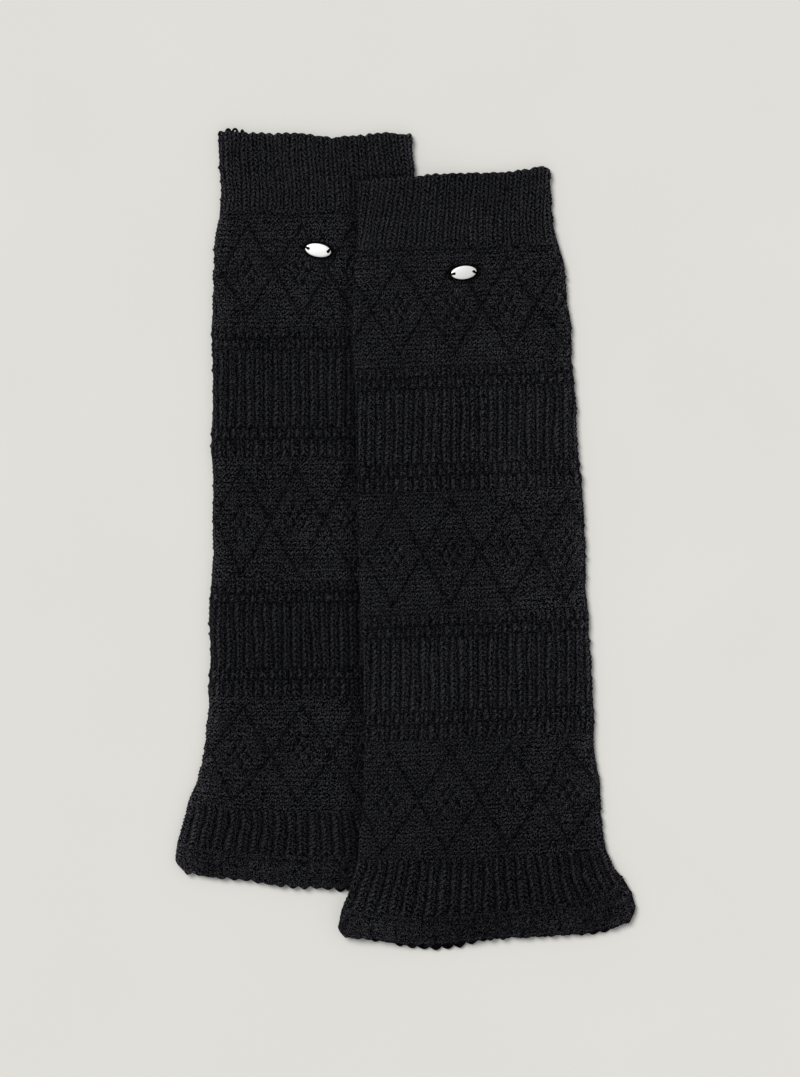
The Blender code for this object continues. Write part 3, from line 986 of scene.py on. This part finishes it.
def panel_stitches(panel):
    """Level, tone and knit share of a panel's stitches, as a function of wale and course."""
    half = DIAMOND_WALES / 2
    middle = (panel.first + panel.last) / 2

    def stitches(wale, course):
        run = (course - panel.first) / (panel.last - panel.first)
        inside_run = np.clip(run, 0.0, 1.0)
        beyond = np.abs(run - inside_run) * DIAMOND_WALES
        across = wale - panel.apex
        falling = np.abs((across - DIAMOND_WALES * inside_run + half) % DIAMOND_WALES - half)
        rising = np.abs((across + DIAMOND_WALES * inside_run + half) % DIAMOND_WALES - half)
        to_line = np.hypot(np.minimum(falling, rising), beyond)
        from_middle = np.abs((across + half) % DIAMOND_WALES - half)
        moss_share = 1.0 - from_middle / LOZENGE_WALES - np.abs(course - middle) / LOZENGE_COURSES
        in_moss = smooth_step(moss_share * LOZENGE_EDGE + 0.5)

        off = np.abs(wale % 1.0 - 0.5)
        leg = np.clip(1.0 - ((off - LEG_AT) / LEG_HALF) ** 2, 0.0, 1.0)
        stroke = 0.5 + 0.5 * np.cos(math.tau * (course - LEG_LEAN * off))
        level = PLAIN_LEVEL + LEG_HEIGHT * leg * (LEG_BASE + (1.0 - LEG_BASE) * stroke)
        line = np.exp(-((to_line / LINE_HALF) ** 2))
        lip = np.exp(-(((to_line - LIP_AT) / LIP_HALF) ** 2))
        level = level + (LIP_HEIGHT * lip - LINE_DEPTH * line) * (1.0 - in_moss)
        # The sunk lines are painted darker, broken into dashes: painted shade.
        dash = 1.0 - LINE_DASH * (0.5 + 0.5 * np.cos(math.pi * (course - middle)))
        tone = 1.0 - LINE_TONE * line * dash * (1.0 - in_moss)

        # Where the cuff ends it stands proud, and painted shade darkens the first stitches of the leg.
        if panel.place == "top":
            tone = tone * (1.0 - CUFF_SHADE * np.exp(-((course / CUFF_SHADE_COURSES) ** 2)))

        # Double moss: the purl bumps are two wales apart and change places every two courses. The
        # yarn between two bumps sinks in a pit.
        bump = np.sin(math.pi * across) * np.sin(math.pi / 2 * (course - middle) + math.pi / 4)
        pit = np.sin(math.tau * across) * np.sin(math.pi * (course - middle))
        loop = np.cos(math.tau * across) * np.cos(math.tau * (course - middle))
        dot = BUMP_SHARE * bump + PIT_SHARE * pit + LOOP_SHARE * loop
        level = level * (1.0 - in_moss) + (MOSS_LEVEL + MOSS_HEIGHT * dot) * in_moss
        # The moss bumps are painted lighter and its pits darker: painted light and shade.
        tone = tone * (1.0 - in_moss) + np.maximum(1.0 + MOSS_TONE * dot, MOSS_PIT_TONE) * in_moss
        return level, PLAIN_TONE * panel.tone * tone, (1.0 - in_moss) * (1.0 - line)

    return stitches


PLAIN_STITCH = Stitch(
    wales=1.0, lean=LEG_LEAN, stroke=0.27, round_leg=0.20,
    right_shade=0.06, right_stroke=0.7, unlike=0.08, bend=0.5,
)
DIAMOND_YARN = yarn_material("diamond-knit wool and acrylic yarn", PLAIN_STITCH)

for index, panel in enumerate(PANELS):
    warmer = panel.warmer
    lines = np.linspace(panel.top, panel.bottom, PANEL_COURSES + 1)
    stitches = panel_stitches(panel)
    piece = knit_band(
        warmer, f"knit_panel_{panel.place}", lines, stitches, DIAMOND_YARN, seed=20 + index, rows=PANEL_ROWS
    )
    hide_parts(f"{warmer.name}_leg")
    declare_cloth(warmer, panel.top, panel.bottom)

# ======== The rib bands with their ridges ========
# Between the panels the leg pulls in with a band of 1x1 rib in the same yarn. Two rows of short
# ribs, one stitch out of step with each other, stand above and below it like strings of beads.


class Block(NamedTuple):
    """A run of courses whose ribs are in step: where it ends in mm, its courses, its step."""

    end: float
    courses: int
    step: int


class RibBand(NamedTuple):
    """One rib band: its start and its five blocks' ends in mm, its long ribs' courses, its tone."""

    warmer: Warmer
    place: str
    top: float
    ends: tuple
    courses: int
    tone: float


# Each rib band's tone is an overall painted shade.
RIB_BANDS = (
    RibBand(LOWER, "upper", 119.9, ends=(125.8, 132.6, 182.0, 189.2, 201.0), courses=15, tone=0.93),
    RibBand(LOWER, "lower", 279.5, ends=(285.6, 291.8, 333.0, 340.0, 350.8), courses=13, tone=0.85),
    RibBand(UPPER, "upper", 120.5, ends=(126.4, 133.2, 181.0, 188.0, 198.0), courses=15, tone=0.99),
    RibBand(UPPER, "lower", 275.2, ends=(282.2, 288.8, 335.6, 343.0, 353.4), courses=14, tone=1.0),
)
BAND_GROOVE = 0.14
BLOCK_ROUNDING = 0.55
BLOCK_END_LEVEL = -0.35 * MM
BLOCK_START_TONE = 0.42
BLOCK_END_TONE = 0.62
RIDGE_COURSES = 3
RIDGE_PROUD = 0.40 * MM


def blocks_of(band):
    """A band's blocks: two rows of short ribs, the long ribs, and two rows of short ribs."""
    courses = (2, 2, band.courses, 2, 3)
    steps = (0, 1, 0, 1, 0)
    return [Block(*block) for block in zip(band.ends, courses, steps)]


def block_lines(top, blocks):
    """Distances down of the lines between courses, through all the blocks."""
    lines = [top]
    for block in blocks:
        start = lines[-1]
        for course in range(1, block.courses + 1):
            lines.append(start + (block.end - start) * course / block.courses)
    return lines


def block_steps(blocks):
    """How many wales each course's ribs are out of step, as a function of course."""
    steps = np.array([block.step for block in blocks for _ in range(block.courses)])
    return lambda course: steps[np.clip(course.astype(int), 0, len(steps) - 1)]


def block_stitches(blocks, base_tone):
    """Level, tone and knit share of ribs in blocks that are rounded off at their ends."""

    def stitches(wale, course):
        level, tone, knit = rib_stitches(wale, course, BAND_GROOVE)
        start = 0
        for block in blocks:
            within = (course >= start) & (course <= start + block.courses)
            from_end = np.minimum(course - start, start + block.courses - course)
            round_off = smooth_step(from_end / BLOCK_ROUNDING)
            block_level, block_tone, block_knit = rib_stitches(wale + block.step, course, BAND_GROOVE)
            if block.courses <= RIDGE_COURSES:
                block_level = block_level + RIDGE_PROUD
            block_level = BLOCK_END_LEVEL + (block_level - BLOCK_END_LEVEL) * round_off
            # The blocks' ends are painted darker, painted shade, the top ends more than the bottom ones.
            in_first_half = course - start < block.courses / 2
            end_tone = np.where(in_first_half, BLOCK_START_TONE, BLOCK_END_TONE)
            block_tone = end_tone + (block_tone - end_tone) * round_off
            level = np.where(within, block_level, level)
            tone = np.where(within, block_tone, tone)
            knit = np.where(within, block_knit, knit)
            start += block.courses
        return level, base_tone * tone, knit

    return stitches


for index, band in enumerate(RIB_BANDS):
    warmer = band.warmer
    blocks = blocks_of(band)
    lines = block_lines(band.top, blocks)
    stitches = block_stitches(blocks, band.tone)
    name = f"knit_rib_band_{band.place}"
    piece = knit_band(warmer, name, lines, stitches, RIB_YARN, seed=30 + index, step_at=block_steps(blocks))
    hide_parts(f"{warmer.name}_leg")
    declare_cloth(warmer, band.top, band.ends[-1])

# ======== The flares ========
# Below the last panel the same rib goes on in the same yarn. It is knitted with slacker
# stitches, so it fans out towards the hem.

FLARE_COURSES = {"lower": 10, "upper": 11}
FLARE_ENDS = {"lower": (423.4, 450.5), "upper": (429.0, 462.9)}
# The flares' tones are painted shade.
FLARE_TONES = {"lower": 0.89, "upper": 0.86}
FLARE_GROOVE = 0.14

for warmer in WARMERS:
    top, bottom = FLARE_ENDS[warmer.name]
    lines = np.linspace(top, bottom, FLARE_COURSES[warmer.name] + 1)
    stitches = toned_rib(FLARE_TONES[warmer.name], FLARE_GROOVE)
    flare = knit_band(warmer, "knit_flare", lines, stitches, RIB_YARN, seed=41)
    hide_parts(f"{warmer.name}_flare")
    declare_cloth(warmer, top, bottom)

# ======== The hem borders ========
# The leg ends in a border of low ribs in the same yarn. It is bound off loosely, so the edge
# rolls a little and shows a scallop at every rib. Its back layer peeks out below the front.

HEM_COURSES = 6
HEM_ENDS = {"lower": (450.5, 470.6), "upper": (462.9, 481.0)}
# The borders' tones are painted shade, darker than the leg above.
HEM_TONES = {"lower": 0.78, "upper": 0.71}
HEM_RELIEF = 0.3
HEM_LEVEL = -0.2

# A raised line and a groove run round the border: their courses, heights in mm, and tones. The raised line
# is painted lighter and the groove darker: painted light and shade.
LINE_COURSES = 0.4
RIDGE_AT = 0.3
RIDGE_HEIGHT = 0.16
RIDGE_TONE = 0.25
GROOVE_AT = 1.15
GROOVE_SINKS = 0.2
GROOVE_TONE = 0.12


def hem_stitches(base_tone):
    """Level, tone and knit share of a border: a raised line, a groove, and low ribs."""

    def stitches(wale, course):
        level, tone, knit = rib_stitches(wale, course, 0.0)
        ridge = np.exp(-(((course - RIDGE_AT) / LINE_COURSES) ** 2))
        groove = np.exp(-(((course - GROOVE_AT) / LINE_COURSES) ** 2))
        level = level * HEM_RELIEF + (HEM_LEVEL + RIDGE_HEIGHT * ridge - GROOVE_SINKS * groove) * MM
        tone = 1.0 - HEM_RELIEF * (1.0 - tone) + RIDGE_TONE * ridge - GROOVE_TONE * groove
        return level, base_tone * tone, knit

    return stitches


EDGE_STITCH = PLAIN_STITCH._replace(stroke=0.16, round_leg=0.16, right_shade=0.05, unlike=0.20, bend=1.4)
HEM_YARN = yarn_material("hem-knit wool and acrylic yarn", EDGE_STITCH)

for warmer in WARMERS:
    top, bottom = HEM_ENDS[warmer.name]
    lines = np.linspace(top, bottom, HEM_COURSES + 1)
    stitches = hem_stitches(HEM_TONES[warmer.name])
    hem = knit_band(warmer, "knit_hem", lines, stitches, HEM_YARN, seed=51, opens_down=True)
    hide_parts(f"{warmer.name}_hem")
    declare_cloth(warmer, top, bottom)

# ======== The plates ========
# A small domed oval of nickel-plated brass, punched with two holes, is sewn on below each cuff.
# Its face is satin and its rim is painted brighter, a painted highlight. It is left bare.

PLATE_LENGTH = 16.2 * MM
PLATE_WIDTH = 8.3 * MM
CAD_LENGTH = 17.0 * MM
CAD_WIDTH = 9.4 * MM
RIM_ANGLE = math.radians(30.0)
PLATE_FACE = "#fbfaf8"
PLATE_RIM_HIGHLIGHT = "#ffffff"
PLATE_METALLIC = 1.0
PLATE_ROUGHNESS = 0.64
ROUGHNESS_VARIES = 0.12
RIM_FROM = 0.74
RIM_TO = 0.86
TUMBLE_SIZE = 0.6 * MM
WORN_TONE = 0.94
TUMBLE_BUMP = 0.2
TUMBLE_RELIEF = 0.02 * MM
# A painted shadow ring in the yarn round each plate.
PAINTED_PLATE_SHADE = 0.95
PLATE_SHADE_REACH = 1.7 * MM


class Seat(NamedTuple):
    """How a plate sits: its shift along the table in mm, and the degrees it turns further."""

    across: float
    along: float
    turn: float


SEATS = {
    "lower": Seat(across=-0.45, along=-0.1, turn=-1.0),
    "upper": Seat(across=-0.15, along=-1.0, turn=1.8),
}


def plate_frame(name):
    """Place of a plate: +X along it from its left tie to its right one, z = 0 at its underside."""
    seat = SEATS[name]
    (left_low, left_high), (right_low, right_high) = (
        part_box(f"{name}_tie_{side}") for side in ("left", "right")
    )
    left = Vector(left_low) / 2 + Vector(left_high) / 2
    right = Vector(right_low) / 2 + Vector(right_high) / 2
    along = (right - left).normalized()
    across = Vector((0.0, 0.0, 1.0)).cross(along).normalized()
    middle = (left + right) / 2 + Vector((seat.across, seat.along, 0.0)) * MM
    middle.z = (left_low[2] + right_low[2]) / 2
    axes = Matrix((along, across, along.cross(across))).transposed().to_4x4()
    return Matrix.Translation(middle) @ Matrix.Rotation(math.radians(seat.turn), 4, "Z") @ axes


def plate_material():
    """Nickel-plated brass, tumbled: a soft white satin face, and a rim painted brighter as a painted
    highlight.
    """
    material, tree, shader = new_material("satin nickel plate", Metallic=PLATE_METALLIC)
    reach = add_node(tree, "ShaderNodeAttribute", attribute_name="reach").outputs["Fac"]
    limits = {"Value": reach, "From Min": RIM_FROM, "From Max": RIM_TO}
    rim = add_node(tree, "ShaderNodeMapRange", limits, interpolation_type="SMOOTHSTEP").outputs[0]
    place = add_node(tree, "ShaderNodeTexCoord").outputs["Object"]
    grain = {"Vector": place, "Scale": 1.0 / TUMBLE_SIZE, "Detail": 3.0}
    tumble = add_node(tree, "ShaderNodeTexNoise", grain).outputs["Fac"]
    colours = {"Factor": rim, "A": linear(PLATE_FACE), "B": linear(PLATE_RIM_HIGHLIGHT)}
    colour = add_node(tree, "ShaderNodeMix", colours, data_type="RGBA").outputs["Result"]
    worn = add_node(tree, "ShaderNodeMapRange", {"Value": tumble, "To Min": WORN_TONE, "To Max": 1.0})
    shaded = add_node(tree, "ShaderNodeVectorMath", {0: colour, "Scale": worn.outputs[0]}, operation="SCALE")
    tree.links.new(shaded.outputs[0], shader.inputs["Base Color"])
    low, high = PLATE_ROUGHNESS - ROUGHNESS_VARIES, PLATE_ROUGHNESS + ROUGHNESS_VARIES
    roughness = add_node(tree, "ShaderNodeMapRange", {"Value": tumble, "To Min": low, "To Max": high})
    tree.links.new(roughness.outputs[0], shader.inputs["Roughness"])
    relief = {"Height": tumble, "Strength": TUMBLE_BUMP, "Distance": TUMBLE_RELIEF}
    bump = add_node(tree, "ShaderNodeBump", relief)
    tree.links.new(bump.outputs[0], shader.inputs["Normal"])
    return material


def plate_reach(across, along):
    """How far out on the plate's oval a place lies, 1 at its outline."""
    return np.hypot(across / (PLATE_LENGTH / 2), along / (PLATE_WIDTH / 2))


def paint_shade_round_plate(piece, frame_of_plate):
    """Paints shade into the yarn round a plate: a dark ring along the plate's edge."""
    values = np.empty(len(piece.data.vertices) * 3)
    piece.data.vertices.foreach_get("co", values)
    to_plate = np.array(frame_of_plate.inverted())
    own = values.reshape(-1, 3) @ to_plate[:3, :3].T + to_plate[:3, 3]
    past = (plate_reach(own[:, 0], own[:, 1]) - 1.0) * PLATE_WIDTH / 2 / PLATE_SHADE_REACH
    near = np.where(own[:, 2] > -KNIT_WALL, np.exp(-(past**2)), 0.0)
    tones = piece.data.attributes["tone"].data
    tone = np.empty(len(tones))
    tones.foreach_get("value", tone)
    tones.foreach_set("value", tone * (1.0 - PAINTED_PLATE_SHADE * near))


PLATE_METAL = plate_material()
for name, seat in SEATS.items():
    place = plate_frame(name)
    low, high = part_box(f"{name}_plate")
    middle = (Vector(low) + Vector(high)) / 2
    shift = Matrix.Translation(Vector((seat.across, seat.along, 0.0)) * MM + middle)
    turn = Matrix.Rotation(math.radians(seat.turn), 4, "Z")
    own_way = place.to_3x3().to_4x4()
    shrink = Matrix.Diagonal((PLATE_LENGTH / CAD_LENGTH, PLATE_WIDTH / CAD_WIDTH, 1.0, 1.0))
    shrink = own_way @ shrink @ own_way.inverted()
    seated = shift @ shrink @ turn @ Matrix.Translation(-middle)
    shape = bmesh.new()
    shape.from_mesh(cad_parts[f"{name}_plate"].data)
    bmesh.ops.remove_doubles(shape, verts=shape.verts, dist=MERGE_DISTANCE)
    bmesh.ops.transform(shape, matrix=seated, verts=shape.verts)
    mesh = bpy.data.meshes.new(f"{name}_oval_plate")
    shape.to_mesh(mesh)
    shape.free()
    mesh.shade_smooth()
    mesh.set_sharp_from_angle(angle=RIM_ANGLE)
    reach = mesh.attributes.new("reach", "FLOAT", "POINT")
    for vertex in mesh.vertices:
        own = place.inverted() @ vertex.co
        reach.data[vertex.index].value = plate_reach(own.x, own.y)
    plate = new_piece(f"{name}_oval_plate", mesh, PLATE_METAL)
    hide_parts(f"{name}_plate")
    paint_shade_round_plate(bpy.data.objects[f"{name}_knit_panel_top"], place)

# ======== The thread ties ========
# Black two-ply sewing thread comes up through each hole, crosses the plate's end and goes down
# into the knit beside it, where it is knotted underneath.

THREAD_DARK = "#020203"
THREAD_PALE = "#08080a"
THREAD_FIBRE = 0.12 * MM
STRAND_ROUGHNESS = 0.9
STRAND_SPECULAR = 0.05
STRAND_BUMP = 0.4
STRAND_RELIEF = 0.03 * MM
PLY_RADIUS = 0.40 * MM
PLY_OFFSET = 0.30 * MM
PLY_TURN = 2.2 * MM
KNOT_SWELL = 1.1
PLATE_TOP = 0.86 * MM
HOLE_FROM_MIDDLE = 6.4 * MM * PLATE_LENGTH / CAD_LENGTH

# A tie starts and ends a little below the plate's underside, and ends a little past its rim.
TIE_STEPS = 28
TIE_SEARCH = 0.05 * MM
TIE_SINKS = 0.2 * MM
TIE_PAST_RIM = 0.5 * MM
TIE_ARCH = 0.4


class Tie(NamedTuple):
    """One stitch: its plate, its end of it, and the degrees by which it leans off the plate's line."""

    warmer: str
    side: str
    lean: float


TIES = (
    Tie(warmer="lower", side="left", lean=20.0),
    Tie(warmer="lower", side="right", lean=58.0),
    Tie(warmer="upper", side="left", lean=-4.0),
    Tie(warmer="upper", side="right", lean=-40.0),
)


def strand_material(name, dark, pale, fibre_size):
    """A matt black strand: dark, with paler streaks where its fibres stand out."""
    values = {"Roughness": STRAND_ROUGHNESS, "Specular_IOR_Level": STRAND_SPECULAR}
    material, tree, shader = new_material(name, **values)
    place = add_node(tree, "ShaderNodeTexCoord").outputs["Object"]
    streaks = {"Vector": place, "Scale": 1.0 / fibre_size, "Detail": 2.0}
    fibres = add_node(tree, "ShaderNodeTexNoise", streaks).outputs["Fac"]
    colours = {"Factor": fibres, "A": linear(dark), "B": linear(pale)}
    colour = add_node(tree, "ShaderNodeMix", colours, data_type="RGBA")
    tree.links.new(colour.outputs["Result"], shader.inputs["Base Color"])
    relief = {"Height": fibres, "Strength": STRAND_BUMP, "Distance": STRAND_RELIEF}
    bump = add_node(tree, "ShaderNodeBump", relief)
    tree.links.new(bump.outputs[0], shader.inputs["Normal"])
    return material


def strand_piece(name, strands, radius, material):
    """A piece of round strands, each a list of points with the share of the radius there."""
    curve = bpy.data.curves.new(name, "CURVE")
    curve.dimensions = "3D"
    curve.bevel_depth = radius
    curve.bevel_resolution = 2
    curve.use_fill_caps = True
    for strand in strands:
        spline = curve.splines.new("POLY")
        spline.points.add(len(strand) - 1)
        for knot, (point, share) in zip(spline.points, strand):
            knot.co = (*point, 1.0)
            knot.radius = share
    outline = place_in_scene(name, curve)
    bpy.context.view_layer.update()
    mesh = bpy.data.meshes.new_from_object(outline.evaluated_get(bpy.context.evaluated_depsgraph_get()))
    bpy.data.objects.remove(outline)
    mesh.name = name
    mesh.shade_smooth()
    mesh.materials.clear()
    return new_piece(name, mesh, material)


def tie_path(side, lean):
    """Points of a stitch in its plate's frame: up through the hole, over the end and down."""
    way = math.radians(lean if side > 0 else 180.0 - lean)
    run = Vector((math.cos(way), math.sin(way), 0.0))
    hole = Vector((side * HOLE_FROM_MIDDLE, 0.0, 0.0))
    length = 0.0
    reach = 0.0
    while reach < 1.0:
        length += TIE_SEARCH
        end = hole + run * length
        reach = plate_reach(end.x, end.y)
    crest = PLATE_TOP + PLY_RADIUS + PLY_OFFSET
    points = []
    for step in range(TIE_STEPS + 1):
        share = step / TIE_STEPS
        height = crest * math.sin(math.pi * share) ** TIE_ARCH - TIE_SINKS
        points.append(hole + run * (length + TIE_PAST_RIM) * share + Vector((0.0, 0.0, height)))
    return points


def twisted_ply(path, place, start_angle):
    """One of a thread's two plies, wound round a path, with the knot's swelling at its start."""
    strand = []
    travelled = 0.0
    for index, point in enumerate(path):
        before, after = path[max(index - 1, 0)], path[min(index + 1, len(path) - 1)]
        ahead = (after - before).normalized()
        aside = Vector((0.0, 0.0, 1.0)).cross(ahead).normalized()
        travelled += (point - before).length
        angle = start_angle + math.tau * travelled / PLY_TURN
        offset = aside * math.cos(angle) + ahead.cross(aside) * math.sin(angle)
        swell = 1.0 + KNOT_SWELL * (1.0 - index / TIE_STEPS) ** 3
        strand.append((place @ (point + offset * PLY_OFFSET), swell))
    return strand


THREAD = strand_material("black polyester thread", THREAD_DARK, THREAD_PALE, THREAD_FIBRE)
for tie in TIES:
    path = tie_path(1 if tie.side == "right" else -1, tie.lean)
    place = plate_frame(tie.warmer)
    plies = [twisted_ply(path, place, angle) for angle in (0.0, math.pi)]
    stitch = strand_piece(f"{tie.warmer}_thread_{tie.side}", plies, PLY_RADIUS, THREAD)
    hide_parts(f"{tie.warmer}_tie_{tie.side}")

# ======== The loose loops ========
# At the lower cuff's left corner the cast-on has slipped, and four loops of its wool and acrylic
# yarn stand up past the edge.

LOOP_DARK = "#010102"
LOOP_PALE = "#0e0e10"
LOOP_RADIUS = 0.75 * MM
LOOP_FOOT = 2.0 * MM
LOOP_HEIGHT = 3.6 * MM
LOOP_LIFT = 0.5 * MM
LOOP_ARCH = 0.7
LOOP_STEPS = 16


class Loop(NamedTuple):
    """One loop: its two feet across and its top above the middle of the cuff's edge, in mm."""

    left: float
    right: float
    top: float


LOOPS = (
    Loop(left=-61.3, right=-59.6, top=4.4),
    Loop(left=-57.0, right=-53.8, top=6.6),
    Loop(left=-52.8, right=-49.5, top=6.7),
    Loop(left=-47.2, right=-46.0, top=5.8),
)


def loop_strand(loop):
    """An arch of yarn out of the cuff's edge and back into it."""
    turn = math.radians(LOWER.turn)
    middle = (loop.left + loop.right) / 2 * MM
    half = (loop.right - loop.left) / 2 * MM
    strand = []
    for step in range(LOOP_STEPS + 1):
        angle = math.pi * step / LOOP_STEPS
        across = middle - half * math.cos(angle)
        arch = math.sin(angle) ** LOOP_ARCH
        up = LOOP_FOOT + (loop.top * MM - LOOP_RADIUS - LOOP_FOOT) * arch
        x = LOWER.across * MM + across * math.cos(turn) - up * math.sin(turn)
        y = LOWER.along * MM + across * math.sin(turn) + up * math.cos(turn)
        strand.append((Vector((x, y, LOOP_HEIGHT + LOOP_LIFT * arch)), 1.0))
    return strand


LOOSE_YARN = strand_material("loose wool and acrylic yarn", LOOP_DARK, LOOP_PALE, FIBRE_SIZE)
loops = strand_piece("lower_yarn_loops", [loop_strand(loop) for loop in LOOPS], LOOP_RADIUS, LOOSE_YARN)

# ======== The table, the light and the camera ========
# A plain pale table top, a broad soft light from the upper left and an even fill, seen from
# straight above.

TABLE_SIZE = 6.0
TABLE_COLOUR = "#dfded9"
TABLE_ROUGHNESS = 0.9
TABLE_CLOUD = 120.0 * MM
TABLE_VARIES = 0.015
SUN_STRENGTH = 2.3
SUN_SOFTNESS = math.radians(32.0)
SUN_HEIGHT = math.radians(50.0)
SUN_FROM = math.radians(135.0)
FILL_STRENGTH = 0.45
CAMERA_HEIGHT = 2.2
FRAME_WIDTH = 0.502
FRAME_MIDDLE = (-3.1 * MM, 0.0)
SENSOR_WIDTH = 36.0


def board_material():
    """Board with matt paint, rolled on: an even pale grey, faintly clouded."""
    values = {"Roughness": TABLE_ROUGHNESS, "Specular_IOR_Level": 0.0}
    material, tree, shader = new_material("matt painted board", **values)
    place = add_node(tree, "ShaderNodeTexCoord").outputs["Object"]
    wide = {"Vector": place, "Scale": 1.0 / TABLE_CLOUD, "Detail": 2.0}
    cloud = add_node(tree, "ShaderNodeTexNoise", wide).outputs["Fac"]
    limits = {"Value": cloud, "To Min": 1.0 - TABLE_VARIES, "To Max": 1.0 + TABLE_VARIES}
    evenness = add_node(tree, "ShaderNodeMapRange", limits).outputs[0]
    paint = {0: linear(TABLE_COLOUR)[:3], "Scale": evenness}
    painted = add_node(tree, "ShaderNodeVectorMath", paint, operation="SCALE")
    tree.links.new(painted.outputs[0], shader.inputs["Base Color"])
    return material


shape = bmesh.new()
bmesh.ops.create_grid(shape, x_segments=1, y_segments=1, size=TABLE_SIZE / 2)
table_mesh = bpy.data.meshes.new("table_top")
shape.to_mesh(table_mesh)
shape.free()
table_mesh.materials.append(board_material())
table = place_in_scene("table_top", table_mesh)

sun_data = bpy.data.lights.new("soft_key", "SUN")
sun_data.energy = SUN_STRENGTH
sun_data.angle = SUN_SOFTNESS
sun = place_in_scene("soft_key", sun_data)
level_share = math.cos(SUN_HEIGHT)
toward_light = (math.cos(SUN_FROM) * level_share, math.sin(SUN_FROM) * level_share, math.sin(SUN_HEIGHT))
sun.rotation_euler = Vector(toward_light).to_track_quat("Z", "Y").to_euler()

world = bpy.data.worlds.new("studio_fill")
bpy.context.scene.world = world
world.use_nodes = True
fill = world.node_tree.nodes["Background"]
fill.inputs["Color"].default_value = (1.0, 1.0, 1.0, 1.0)
fill.inputs["Strength"].default_value = FILL_STRENGTH

camera_data = bpy.data.cameras.new("camera")
camera_data.sensor_fit = "HORIZONTAL"
camera_data.sensor_width = SENSOR_WIDTH
camera_data.lens = SENSOR_WIDTH * (CAMERA_HEIGHT - FLAT_HEIGHT) / FRAME_WIDTH
camera = place_in_scene("camera", camera_data)
camera.location = (*FRAME_MIDDLE, CAMERA_HEIGHT)
bpy.context.scene.camera = camera
bpy.context.scene.view_settings.view_transform = "Standard"

bpy.context.view_layer.update()
